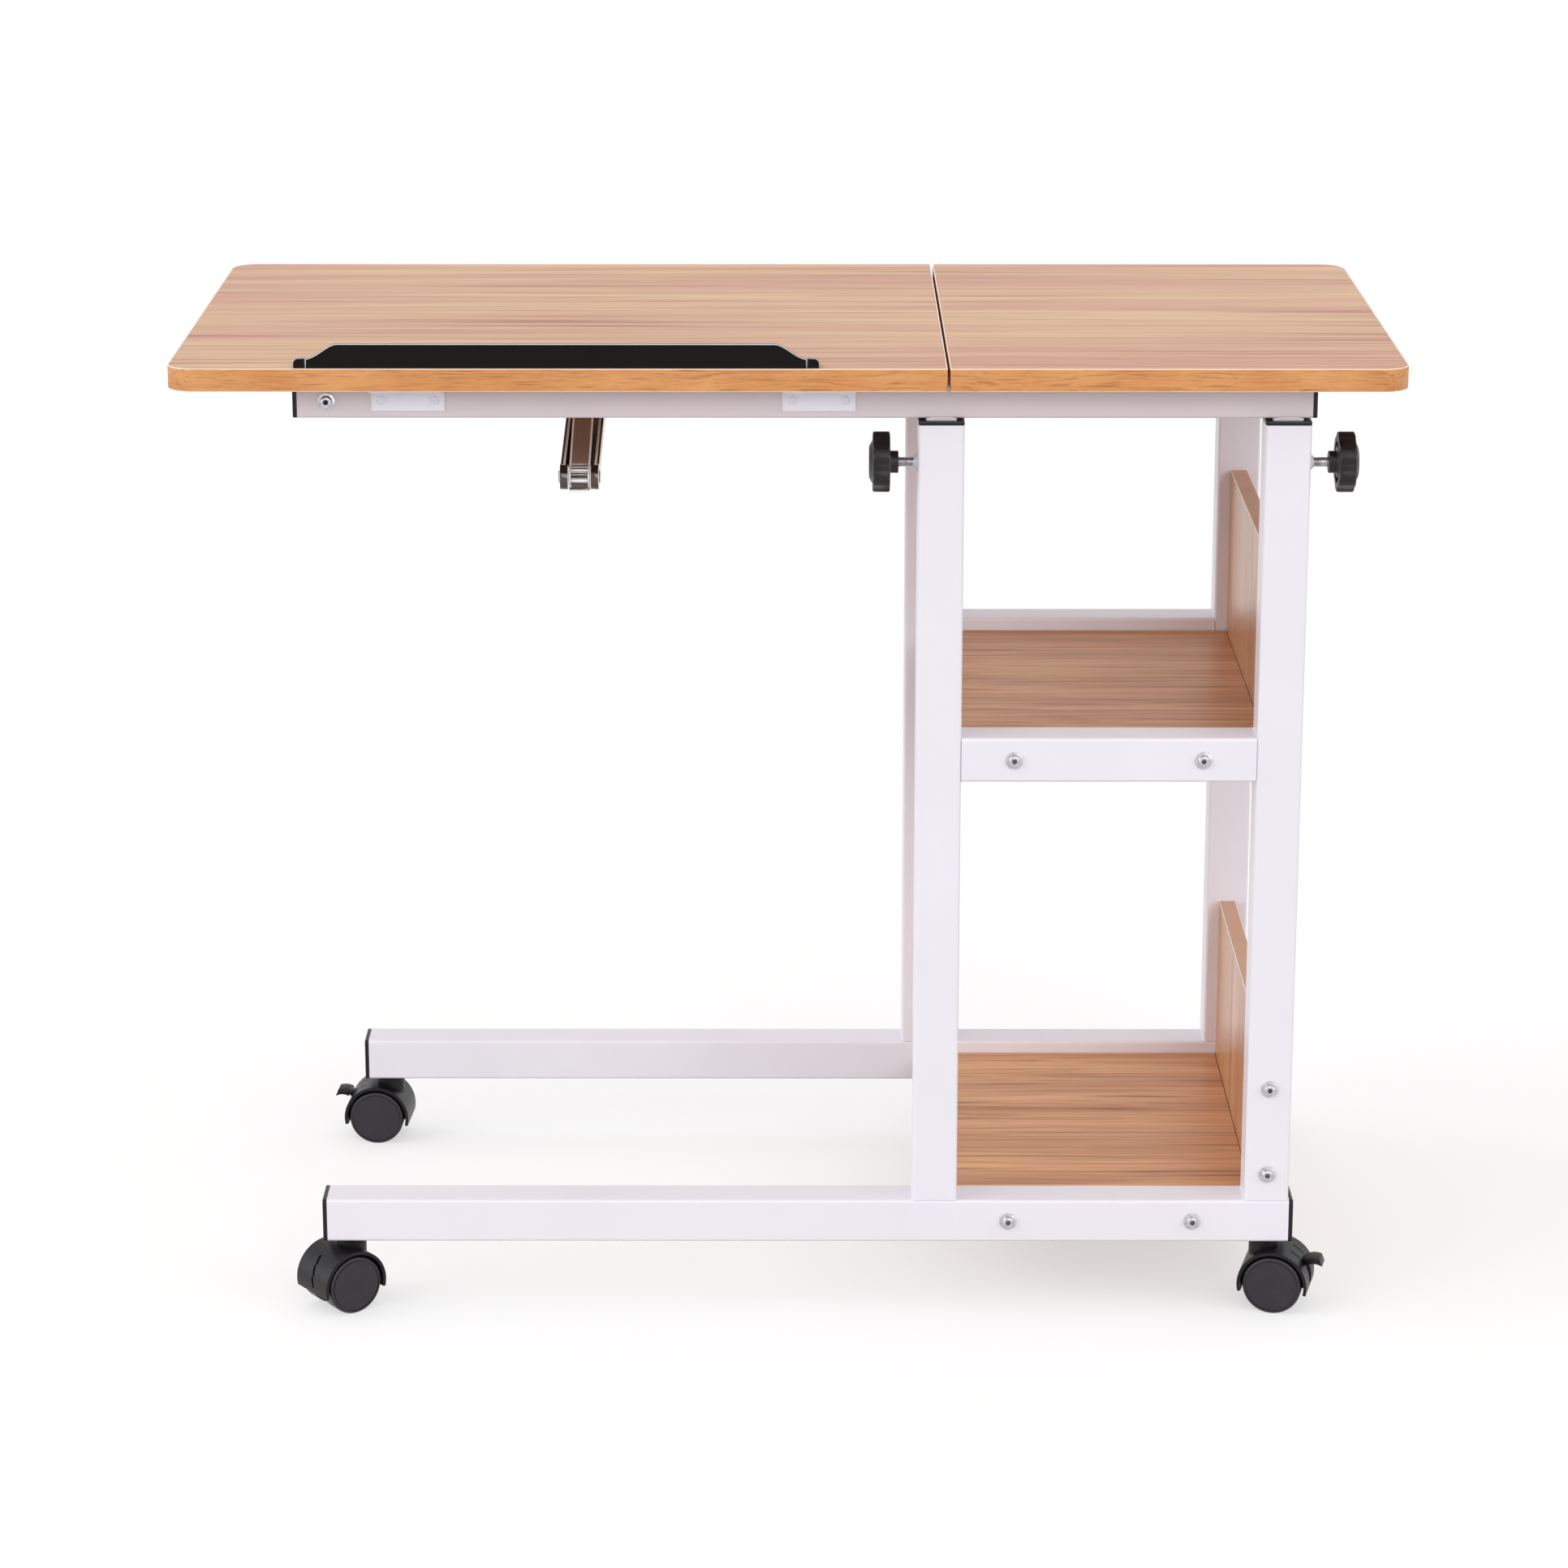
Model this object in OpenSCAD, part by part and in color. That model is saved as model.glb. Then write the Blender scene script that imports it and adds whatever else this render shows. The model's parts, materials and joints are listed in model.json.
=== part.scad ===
// Rolling laptop desk. A welded steel frame stands on four twin-wheel casters and carries
// two open shelves. An upper frame slides in its posts and is clamped by star knobs. It
// carries a fixed board on the right and, on the left, a board that is hinged along its
// front edge and held up by a folding ratchet strut.
// The origin is on the floor below the middle of the tabletop: X right, Y back, Z up.

/* [Tabletop] */
// Width of the whole tabletop
top_w = 800; // [780:5:840]
// Depth of the tabletop
top_d = 400; // [392:2:430]
// Thickness of both boards
top_t = 15; // [12:1:20]
// Width of the tilting board
tilt_w = 502.5; // [490:0.5:503]
// Gap between the two boards
board_gap = 1.6; // [1:0.2:3]
// Radius of the tabletop's outer corners
corner_r = 18; // [8:1:28]
// Radius of the corners beside the gap
inner_corner_r = 1.5; // [1.2:0.1:3]
// Thickness of the edge band
edge_t = 1; // [0.6:0.1:1.1]

/* [Stopper bar] */
// Length of the bar
bar_len = 338; // [300:2:360]
// Height of the bar's wall
bar_h = 16; // [12:1:24]
// Height of its low ends
bar_end_h = 6.5; // [5:0.5:9]
// Length of each low end
bar_end_len = 8; // [6:1:14]
// Length of each slope between a low end and the full height
bar_slope = 21; // [16:1:30]
// Thickness of the bar's wall
bar_t = 3; // [2:0.5:5]
// Depth of the bar's foot on the board
bar_foot_d = 13; // [10:1:20]
// Thickness of the foot
bar_foot_t = 2.4; // [2:0.2:4]
// Distance from the board's front edge to the bar
bar_inset = 1.5; // [1.2:0.1:4]
// Diameter of the bar's two moulded pegs
peg_d = 5; // [4:0.5:6]
// Depth of the pegs in the board
peg_len = 8; // [5:1:9]

/* [Lower frame] */
// Outer size of the square leg and post tubes
tube = 30; // [28:0.5:31]
// Wall of the leg and post tubes
tube_wall = 1.2; // [1:0.1:1.4]
// Outer corner radius of the tubes
tube_r = 2; // [1.6:0.1:3]
// How far the tabletop overhangs the posts and legs, front and back
overhang_d = 20; // [18:1:30]
// How far the tabletop overhangs the right ends of the leg and rail tubes
overhang_right = 60; // [50:1:70]
// How much shorter the legs are than the rails, at their left ends
leg_setback = 5; // [0:1:30]
// Distance from the right ends to the right posts' outer faces
post_inset = 0.5; // [0:0.5:4]
// Distance between the left and right posts
post_spacing = 225; // [220:1:240]
// Length of the posts
post_h = 535; // [520:5:600]
// Height of the upper shelf's rails above the legs' undersides
shelf_rise = 325; // [300:5:340]
// Thickness of the end caps' outer plates
cap_t = 3; // [2:0.5:4]
// How far the end caps reach into the tubes
cap_plug = 12; // [8:1:13]

/* [Shelves] */
// Thickness of the shelves
shelf_t = 12; // [10:1:14]
// Depth of each shelf's face below its rails' faces
shelf_drop = 9; // [7:0.5:10]
// Distance from the left posts' middle to the shelves' left edge
shelf_start = 1.5; // [0:0.5:10]
// Thickness of the side panels
panel_t = 12; // [10:1:14]
// Height of the side panels
panel_h = 140; // [130:5:160]

/* [Upper frame] */
// Outer size of the square rail tubes
rail = 22; // [21:0.5:24]
// Wall of the rail and inner tubes
rail_wall = 1.2; // [1:0.1:1.5]
// Outer corner radius of the rail and inner tubes
rail_r = 1.8; // [1.6:0.1:2.4]
// How far the tabletop overhangs the rails' left ends
overhang_left = 82; // [76:1:90]
// Distance from the rails' left end to the cross tube's middle
cross_tube_x = 19; // [18:0.5:30]
// Thickness of the end plates welded into the cross tube
cross_plate_t = 4; // [3:0.5:6]
// Outer size of the inner tubes
inner_tube = 20; // [18:0.5:20.5]
// Length of the inner tubes
inner_len = 400; // [360:5:420]
// Height of the glides on the inner tubes' feet
glide_h = 14; // [10:1:20]
// Play between sliding pieces and what guides them, on each side
slide_fit = 0.3; // [0.2:0.05:0.5]
// Gap between the collars and the rails when the desk is lowest
seat_gap = 1.5; // [0.5:0.5:3]

/* [Collars and clamps] */
// Thickness of the collars' lips on the posts
collar_lip = 2.5; // [2:0.5:4]
// Depth of the collars in the posts
collar_len = 40; // [36:1:50]
// Distance from the posts' tops to the clamp screws
clamp_drop = 27; // [24:1:30]
// Diameter of the clamp screws
screw_d = 6; // [5:0.5:6.5]
// Play of a turning or sliding shaft, on each side
run_fit = 0.05; // [0.03:0.01:0.1]
// Flange diameter of the nuts welded to the posts
nut_d = 12; // [10:0.5:14]
// Thickness of the welded nuts
nut_t = 2.6; // [2:0.2:4]
// Visible length of the clamp screws
screw_show = 10; // [7:0.5:14]
// Diameter of the star knobs
knob_d = 40; // [34:1:44]
// Thickness of the star knobs at their rims
knob_t = 11.3; // [9:0.1:14]
// Height of the knobs' raised middle above their rims
knob_dome = 2.3; // [1:0.1:4]
// Number of the knobs' lobes
knob_lobes = 6; // [5:1:8]
// Diameter of the knobs' hubs
knob_hub_d = 14.5; // [12:0.5:16]
// Length of the knobs' hubs
knob_hub_len = 5.5; // [4:0.5:8]

/* [Hinges] */
// Width of the hinge leaves
leaf_w = 47; // [42:1:52]
// Height of the fixed leaves
leaf_h = 17; // [15:0.5:18]
// Thickness of the leaves
leaf_t = 1.5; // [1:0.1:1.7]
// Diameter of the hinge knuckles
knuckle_d = 5.2; // [4.8:0.1:5.4]
// Diameter of the hinge pins
hinge_pin_d = 3; // [2.4:0.1:3.2]
// Distance from the moving leaves to the board's front edge
leaf_inset = 3.2; // [2:0.2:5]
// Distance between a leaf's two screws
leaf_screw_gap = 34; // [28:1:36]
// Distance from the board's left edge to the first hinge's middle
hinge_first = 154; // [140:1:170]
// Distance between the two hinges
hinge_gap = 266; // [240:1:275]

/* [Ratchet strut] */
// Distance from the board's left edge to the strut's middle
strut_x = 261; // [240:1:280]
// Outer width of the outer arm
strut_w = 26; // [24:0.5:28]
// Outer width of the inner arm
strut_inner_w = 14; // [12:0.5:15]
// Height of the outer arm's flanges
strut_h = 11; // [10:0.5:12]
// Sheet thickness of the arms and brackets
strut_t = 1.2; // [1:0.1:1.4]
// Distance of the strut's rail pivot in front of the rear rail's middle
rail_pivot_y = 5; // [3:0.5:6]
// Distance of the rail pivot below the rear rail
rail_pivot_drop = 10; // [9.5:0.5:13]
// Distance of the board pivot in front of the rear rail's middle
board_pivot_y = 85; // [80:1:95]
// Distance of the board pivot below the board
board_pivot_drop = 12; // [11:0.5:14]
// Distance of the knee behind the front rail's middle
knee_y = 65; // [60:1:70]
// Distance of the knee below the board
knee_drop = 77; // [70:1:84]
// Diameter of the strut's rivets
rivet_d = 4; // [3.4:0.1:4.4]
// Diameter of the ratchet drum
drum_d = 12; // [10:0.5:13]
// Number of teeth on the ratchet
ratchet_teeth = 12; // [10:1:14]
// Reach of the release tab below the knee
tab_reach = 10; // [8:0.5:13]

/* [Casters] */
// Overall height of the casters
caster_h = 50; // [49:0.5:56]
// Diameter of the wheels
wheel_d = 40; // [38:1:42]
// Width of each wheel
wheel_w = 12.5; // [11:0.5:14]
// Distance between a caster's swivel axis and its axle
caster_trail = 9; // [7:0.5:11]
// Thickness of the hood's middle web
web_t = 12; // [11.5:0.5:14]
// Gap between a wheel's rim and its hood
hood_gap = 1.8; // [1.4:0.1:2.4]
// Wall of the hood
hood_wall = 2.2; // [1.8:0.1:2.6]
// Gap between a wheel's side and the web
wheel_gap = 0.4; // [0.3:0.05:0.8]
// Diameter of the hood's neck
neck_d = 20; // [18:0.5:22]
// Diameter of the stem inside the neck
stem_d = 8; // [7:0.5:8.5]
// Diameter of the stem inside the leg
stem_top_d = 10; // [9:0.5:12]
// Diameter of the axles
axle_d = 6; // [5:0.5:7]
// Distance of the stems from the leg tubes' ends
stem_inset = 15; // [13.5:0.5:22]
// Outer radius of the brake pedals' bend
pedal_bend_r = 13.3; // [12.6:0.1:14]
// Width of the brake pedals
pedal_w = 13; // [11:0.5:15]

/* [Fasteners] */
// Diameter of the frame bolts
bolt_d = 6; // [5:0.5:6.4]
// Length of the frame bolts
bolt_len = 45; // [42:1:50]
// Diameter of the bolts' washers
washer_d = 11.5; // [11:0.5:13]
// Thickness of the washers
washer_t = 1; // [0.8:0.1:1.6]
// Diameter of the bolt heads
head_d = 8; // [7.4:0.2:9]
// Height of the bolt heads
head_h = 2.8; // [2.4:0.2:3.4]
// Diameter of the wood screws
wood_screw_d = 3.6; // [3:0.2:4]
// Distance of the bolts from the shelf bay's ends
bolt_inset = 35; // [30:1:45]
// Height of the right posts' lower bolts above the legs' undersides
post_bolt_low = 49; // [46:1:56]
// Height of the right posts' upper bolts above the legs' undersides
post_bolt_high = 110; // [80:1:120]
// Distance of the fixed board's screws from its left side and from the rails' right ends
board_screw_inset = 46; // [42:1:60]
// Play of a bolt or screw in its hole, on each side
bolt_fit = 0.1; // [0.05:0.05:0.2]

/* [Hidden] */
$fn = 48;

white_paint = [0.92, 0.91, 0.94];
black_plastic = [0.16, 0.15, 0.16];
laminate = [0.82, 0.67, 0.55];
edge_wood = [0.84, 0.6, 0.36];
shelf_wood = [0.78, 0.6, 0.46];
chrome = [0.72, 0.7, 0.68];
zinc = [0.8, 0.8, 0.82];
sides = [-1, 1];
overcut = 1;

// Heights of the stacked pieces
leg_z = caster_h;
post_z = leg_z + tube;
post_top = post_z + post_h;
clamp_z = post_top - clamp_drop;
rail_z = post_top + collar_lip + seat_gap;
board_z = rail_z + rail;
top_z = board_z + top_t;
shelf_rail_z = leg_z + shelf_rise;

// Places of the tubes
top_left = -top_w / 2;
frame_d = top_d - 2 * overhang_d;
frame_right = top_w / 2 - overhang_right;
rail_left = top_left + overhang_left;
rail_len = frame_right - rail_left;
leg_left = rail_left + leg_setback;
leg_len = frame_right - leg_left;
tube_y = frame_d / 2 - tube / 2;
right_post_x = frame_right - post_inset - tube / 2;
left_post_x = right_post_x - post_spacing;
bay_left = left_post_x + tube / 2;
bay_right = right_post_x - tube / 2;
bay_d = frame_d - 2 * tube;
cross_x = rail_left + cross_tube_x;
panel_x = right_post_x - panel_t / 2;
shelf_left = left_post_x + shelf_start;

// Place of the fixed board
fixed_left = top_left + tilt_w + board_gap;

// Hinge line of the tilting board
knuckle_gap = 0.2;
hinge_y = -tube_y - rail / 2 - knuckle_d / 2 - 2 * knuckle_gap;
hinge_z = board_z - knuckle_d / 2 - knuckle_gap;

// Places of the strut's three pivots
strut_mid = top_left + strut_x;
rail_pivot = [strut_mid, tube_y - rail_pivot_y, rail_z - rail_pivot_drop];
board_pivot = [strut_mid, tube_y - board_pivot_y, board_z - board_pivot_drop];
knee = [strut_mid, -tube_y + knee_y, board_z - knee_drop];

// Casters: swivel axis, and the direction that each trails in
stem_left_x = leg_left + stem_inset;
stem_right_x = frame_right - stem_inset;
front_left_caster = [stem_left_x, -tube_y, 217];
front_right_caster = [stem_right_x, -tube_y, -14];
rear_left_caster = [stem_left_x, tube_y, 176];
rear_right_caster = [stem_right_x, tube_y, 30];
wheel_r = wheel_d / 2;
hood_in_r = wheel_r + hood_gap;
hood_r = hood_in_r + hood_wall;
hood_w = web_t + 2 * (wheel_gap + wheel_w);
swivel_gap = 0.3;
stem_end_z = wheel_r + axle_d / 2 + 9;
pedal_pin_d = 3;
pedal_pivot = [caster_trail + hood_r - 8.5, wheel_r + 8];
pedal_t = 5;
pedal_taper = 1.6;

// Heights of the right posts' bolts, the upper one always below the inner tube's glide
glide_foot_z = rail_z - inner_len - glide_h;
post_bolt_zs = [leg_z + post_bolt_low, min(leg_z + post_bolt_high, glide_foot_z - head_d)];

// Frame bolts: side, X and Z of each bolt that runs along Y
bolt_cols = [bay_left + bolt_inset, bay_right - bolt_inset];
shelf_mid_drop = shelf_drop + shelf_t / 2;
bolt_places = [for (s = sides) for (p = concat(
    [for (x = bolt_cols) [x, shelf_rail_z + tube - shelf_mid_drop]],
    [for (x = bolt_cols) [x, leg_z + tube - shelf_mid_drop]],
    [for (z = post_bolt_zs) [right_post_x, z]])) [s, p[0], p[1]]];
panel_bolt_y = 100;
panel_bolt_len = 35;

// A rectangle with rounded corners, centred
module rounded_rectangle(w, d, r) {
    square([w - 2 * r, d], center = true);
    square([w, d - 2 * r], center = true);
    for (x = sides) {
        for (y = sides) {
            translate([x * (w / 2 - r), y * (d / 2 - r)])
                circle(r);
        }
    }
}

// Section of a square tube
module tube_section(size, wall, r) {
    difference() {
        rounded_rectangle(size, size, r);
        rounded_rectangle(size - 2 * wall, size - 2 * wall, max(r - wall, 0.3));
    }
}

// Square tube along Z, from z = 0
module square_tube(size, wall, r, length) {
    linear_extrude(length)
        tube_section(size, wall, r);
}

// Square tube along X whose left end is at x and whose middle is at y, z
module tube_along_x(x, y, z, size, wall, r, length) {
    translate([x, y, z])
        rotate([0, 90, 0])
            square_tube(size, wall, r, length);
}

// Cylinder along X, centred at a point
module disc_x(p, d, length) {
    translate(p)
        rotate([0, 90, 0])
            cylinder(d = d, h = length, center = true);
}

// Outline of one board: two corners on its outer side are large
module board_outline(w, d, r_left, r_right) {
    hull_free_rectangle(w, d, r_left, r_right);
}

module hull_free_rectangle(w, d, r_left, r_right) {
    translate([r_left, 0])
        square([w - r_left - r_right, d]);
    translate([0, r_left])
        square([r_left, d - 2 * r_left]);
    translate([w - r_right, r_right])
        square([r_right, d - 2 * r_right]);
    for (y = [r_left, d - r_left]) {
        translate([r_left, y])
            circle(r_left);
    }
    for (y = [r_right, d - r_right]) {
        translate([w - r_right, y])
            circle(r_right);
    }
}

// Core of a board, inside its edge band
module board_core(w, r_left, r_right) {
    translate([edge_t, edge_t - top_d / 2, board_z])
        linear_extrude(top_t)
            board_outline(w - 2 * edge_t, top_d - 2 * edge_t, r_left - edge_t, r_right - edge_t);
}

// Edge band of a board
module board_band(w, r_left, r_right) {
    translate([0, -top_d / 2, board_z])
        linear_extrude(top_t)
            difference() {
                board_outline(w, top_d, r_left, r_right);
                translate([edge_t, edge_t])
                    board_outline(w - 2 * edge_t, top_d - 2 * edge_t,
                        r_left - edge_t, r_right - edge_t);
            }
}

// Places something at each frame bolt, with Z into the frame
module at_bolts() {
    for (b = bolt_places) {
        translate([b[1], b[0] * frame_d / 2, b[2]])
            rotate([b[0] * 90, 0, 0])
                children();
    }
    for (s = sides) {
        translate([panel_x + panel_t, s * panel_bolt_y, shelf_rail_z + tube - shelf_mid_drop])
            rotate([0, -90, 0])
                children();
    }
}

module bolt_holes() {
    at_bolts()
        translate([0, 0, -overcut])
            cylinder(d = bolt_d + 2 * bolt_fit, h = bolt_len + overcut + 0.5);
}

// Pan head with a washer and a hexagon socket, below z = 0
module washered_head(shank_d) {
    translate([0, 0, -washer_t])
        cylinder(d = washer_d, h = washer_t);
    difference() {
        translate([0, 0, -washer_t - head_h])
            rotate_extrude()
                pan_head_profile();
        translate([0, 0, -washer_t - head_h - overcut])
            cylinder(d = head_d * 0.45, h = head_h * 0.55 + overcut, $fn = 6);
    }
}

module pan_head_profile() {
    round_r = head_h * 0.55;
    square([head_d / 2 - round_r, head_h]);
    translate([0, round_r])
        square([head_d / 2, head_h - round_r]);
    translate([head_d / 2 - round_r, round_r])
        circle(round_r);
}

module frame_bolt(length) {
    washered_head(bolt_d);
    cylinder(d = bolt_d, h = length);
}

// Leg with its two posts' seats, caster nuts and bolt holes
module leg(side) {
    nut_w = stem_top_d + 8;
    difference() {
        union() {
            tube_along_x(leg_left, side * tube_y, leg_z + tube / 2, tube, tube_wall, tube_r, leg_len);
            for (x = [stem_left_x, stem_right_x]) {
                translate([x, side * tube_y, leg_z + tube_wall / 2])
                    cylinder(d = nut_w, h = 9);
            }
        }
        for (x = [stem_left_x, stem_right_x]) {
            translate([x, side * tube_y, leg_z - overcut])
                cylinder(d = stem_top_d + 2 * run_fit, h = 12);
        }
        bolt_holes();
    }
}

module front_leg() {
    color(white_paint)
        leg(-1);
}

module rear_leg() {
    color(white_paint)
        leg(1);
}

// Place of each post, and the side that its clamp is on
post_places = [for (y = sides) for (x = sides) [x < 0 ? left_post_x : right_post_x, y * tube_y, x]];

module posts() {
    color(white_paint)
        difference() {
            for (p = post_places) {
                translate([p[0], p[1], post_z])
                    square_tube(tube, tube_wall, tube_r, post_h);
            }
            for (p = post_places) {
                disc_x([p[0] + p[2] * tube / 2, p[1], clamp_z], screw_d + 4 * bolt_fit, 4 * tube_wall);
            }
            bolt_holes();
        }
}

module shelf_rails() {
    color(white_paint)
        difference() {
            for (y = sides) {
                tube_along_x(bay_left, y * tube_y, shelf_rail_z + tube / 2, tube, tube_wall, tube_r,
                    bay_right - bay_left);
            }
            bolt_holes();
        }
}

// Shelf between the front and rear tubes, whose rails stand on z
module shelf(z) {
    color(shelf_wood)
        difference() {
            translate([shelf_left, -bay_d / 2, z + tube - shelf_drop - shelf_t])
                cube([panel_x - shelf_left, bay_d, shelf_t]);
            bolt_holes();
        }
}

module upper_shelf() {
    shelf(shelf_rail_z);
}

module lower_shelf() {
    shelf(leg_z);
}

module side_panel(z) {
    color(shelf_wood)
        difference() {
            translate([panel_x, -bay_d / 2, z])
                cube([panel_t, bay_d, panel_h]);
            bolt_holes();
        }
}

module upper_side_panel() {
    side_panel(shelf_rail_z);
}

module lower_side_panel() {
    side_panel(leg_z);
}

// Cap for a square tube's end: plate below z = 0, plug above it
module end_cap(size, wall, r) {
    translate([0, 0, -cap_t])
        linear_extrude(cap_t)
            rounded_rectangle(size, size, r);
    linear_extrude(cap_plug)
        tube_section(size - 2 * wall - 2 * bolt_fit, 1.6, 1);
}

module end_caps_on(x0, x1, z, size, wall, r) {
    for (y = sides) {
        translate([x0, y * tube_y, z])
            rotate([0, 90, 0])
                end_cap(size, wall, r);
        translate([x1, y * tube_y, z])
            rotate([0, -90, 0])
                end_cap(size, wall, r);
    }
}

// The plugs are cut clear of the caster nuts
module leg_end_caps() {
    color(black_plastic)
        difference() {
            end_caps_on(leg_left, frame_right, leg_z + tube / 2, tube, tube_wall, tube_r);
            for (x = [stem_left_x, stem_right_x]) {
                for (y = sides) {
                    translate([x, y * tube_y, leg_z + tube_wall])
                        cylinder(d = stem_top_d + 8 + 4 * bolt_fit, h = 26);
                }
            }
        }
}

module rail_end_caps() {
    color(black_plastic)
        end_caps_on(rail_left, frame_right, rail_z + rail / 2, rail, rail_wall, rail_r);
}

// Collar in each post's top that guides the inner tube
module post_collars() {
    sleeve = tube - 2 * tube_wall - 2 * bolt_fit;
    hole = inner_tube + 2 * slide_fit;
    color(black_plastic)
        difference() {
            for (p = post_places) {
                translate([p[0], p[1], post_top])
                    linear_extrude(collar_lip)
                        rounded_rectangle(tube, tube, tube_r);
                translate([p[0], p[1], post_top - collar_len])
                    linear_extrude(collar_len)
                        rounded_rectangle(sleeve, sleeve, 1);
            }
            for (p = post_places) {
                translate([p[0], p[1], post_top - collar_len - overcut])
                    linear_extrude(collar_len + collar_lip + 2 * overcut)
                        rounded_rectangle(hole, hole, rail_r);
                disc_x([p[0] + p[2] * tube / 2, p[1], clamp_z], screw_d + 4 * bolt_fit, tube - inner_tube);
            }
        }
}

// Places something at a clamp, with Z out of the post's face
module at_clamp(p) {
    translate([p[0] + p[2] * tube / 2, p[1], clamp_z])
        rotate([0, p[2] * 90, 0])
            children();
}

module clamp_nuts() {
    color(zinc)
        for (p = post_places) {
            at_clamp(p)
                difference() {
                    union() {
                        cylinder(d = nut_d, h = nut_t * 0.3);
                        translate([0, 0, nut_t * 0.3])
                            cylinder(d1 = nut_d * 0.92, d2 = screw_d + 2.2, h = nut_t * 0.7);
                    }
                    translate([0, 0, -overcut])
                        cylinder(d = screw_d + 2 * run_fit, h = nut_t + 2 * overcut);
                }
        }
}

// Clamp screw: its tip stops just short of the inner tube
module clamp_screw(p) {
    tip = (tube - inner_tube) / 2 - slide_fit;
    color(zinc)
        at_clamp(p)
            translate([0, 0, -tip])
                difference() {
                    cylinder(d = screw_d, h = tip + nut_t + screw_show + knob_hub_len);
                    for (i = [1 : 8]) {
                        translate([0, 0, tip + nut_t + i * screw_show / 9])
                            thread_groove();
                    }
                }
}

module thread_groove() {
    rotate_extrude()
        translate([screw_d / 2, 0])
            rotate(45)
                square(0.5, center = true);
}

module clamp_screw_front_left() {
    clamp_screw(post_places[0]);
}

module clamp_screw_front_right() {
    clamp_screw(post_places[1]);
}

module clamp_screw_rear_left() {
    clamp_screw(post_places[2]);
}

module clamp_screw_rear_right() {
    clamp_screw(post_places[3]);
}

// Star outline with rounded lobes
module star_outline() {
    lobe_r = knob_d * 0.2;
    circle(knob_d * 0.445);
    for (i = [0 : knob_lobes - 1]) {
        rotate(i * 360 / knob_lobes)
            translate([knob_d / 2 - lobe_r, 0])
                circle(lobe_r);
    }
}

// Half section of the knob's body, from its hub side at y = 0: a rounded rim and a raised middle
module knob_crown() {
    edge_r = 1.6;
    mid_r = knob_d * 0.26;
    slope_r = knob_d * 0.36;
    round_steps = [for (i = [0 : 6]) 90 - i * 15];
    difference() {
        polygon(concat([[0, 0]],
            [for (i = [0 : 6]) [knob_d / 2 - edge_r + edge_r * cos(-round_steps[i]),
                edge_r + edge_r * sin(-round_steps[i])]],
            [for (i = [6 : -1 : 0]) [knob_d / 2 - edge_r + edge_r * cos(round_steps[i]),
                knob_t - edge_r + edge_r * sin(round_steps[i])]],
            [[slope_r, knob_t], [mid_r, knob_t + knob_dome], [0, knob_t + knob_dome]]));
        translate([knob_hub_d / 2 + 3, -overcut])
            square([knob_d * 0.09, 3 + overcut]);
    }
}

module knob(p) {
    color(black_plastic)
        at_clamp(p)
            translate([0, 0, nut_t + screw_show])
                difference() {
                    union() {
                        cylinder(d = knob_hub_d, h = knob_hub_len + overcut);
                        translate([0, 0, knob_hub_len])
                            intersection() {
                                linear_extrude(knob_t + knob_dome)
                                    star_outline();
                                rotate_extrude()
                                    knob_crown();
                            }
                    }
                    translate([0, 0, -overcut])
                        cylinder(d = screw_d + 2 * run_fit, h = knob_hub_len + overcut + run_fit);
                }
}

module knob_front_left() {
    knob(post_places[0]);
}

module knob_front_right() {
    knob(post_places[1]);
}

module knob_rear_left() {
    knob(post_places[2]);
}

module knob_rear_right() {
    knob(post_places[3]);
}

module frame_bolts() {
    color(zinc) {
        for (b = bolt_places) {
            translate([b[1], b[0] * frame_d / 2, b[2]])
                rotate([b[0] * 90, 0, 0])
                    frame_bolt(bolt_len);
        }
        for (s = sides) {
            translate([panel_x + panel_t, s * panel_bolt_y, shelf_rail_z + tube - shelf_mid_drop])
                rotate([0, -90, 0])
                    frame_bolt(panel_bolt_len);
        }
    }
}

// Places something at a caster, with X along its trail
module at_caster(c) {
    translate([c[0], c[1], 0])
        rotate([0, 0, c[2]])
            children();
}

module caster_stems() {
    color(zinc)
        for (c = [front_left_caster, front_right_caster, rear_left_caster, rear_right_caster]) {
            at_caster(c) {
                translate([0, 0, stem_end_z])
                    cylinder(d = stem_d, h = leg_z - stem_end_z);
                translate([0, 0, leg_z])
                    cylinder(d = stem_top_d, h = 13);
            }
        }
}

// Side view of a hood, centred on its axle: the trailing side reaches lower
module hood_outline() {
    reach = 2 * hood_r;
    difference() {
        circle(hood_r, $fn = 72);
        polygon([[0, 0], [reach, -reach * tan(13)], [reach, -reach], [-reach, -reach],
            [-reach, -reach * tan(14)]]);
    }
    circle(axle_d / 2 + 5);
}

// Turns the side view upright and gives it a width
module across(width) {
    rotate([90, 0, 0])
        linear_extrude(width, center = true)
            children();
}

module hood_body() {
    difference() {
        union() {
            translate([caster_trail, 0, wheel_r])
                across(hood_w)
                    hood_outline();
            translate([0, 0, wheel_r + 8])
                cylinder(d = neck_d, h = caster_h - swivel_gap - wheel_r - 8);
        }
        for (s = sides) {
            translate([caster_trail, s * (web_t / 2 + wheel_w), wheel_r])
                rotate([90, 0, 0])
                    cylinder(r = hood_in_r, h = 2 * wheel_w, center = true, $fn = 72);
        }
        translate([0, 0, stem_end_z - swivel_gap])
            cylinder(d = stem_d + 2 * run_fit, h = caster_h);
        translate([caster_trail, 0, wheel_r])
            rotate([90, 0, 0])
                cylinder(d = axle_d + 2 * run_fit, h = hood_w, center = true);
    }
}

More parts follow.
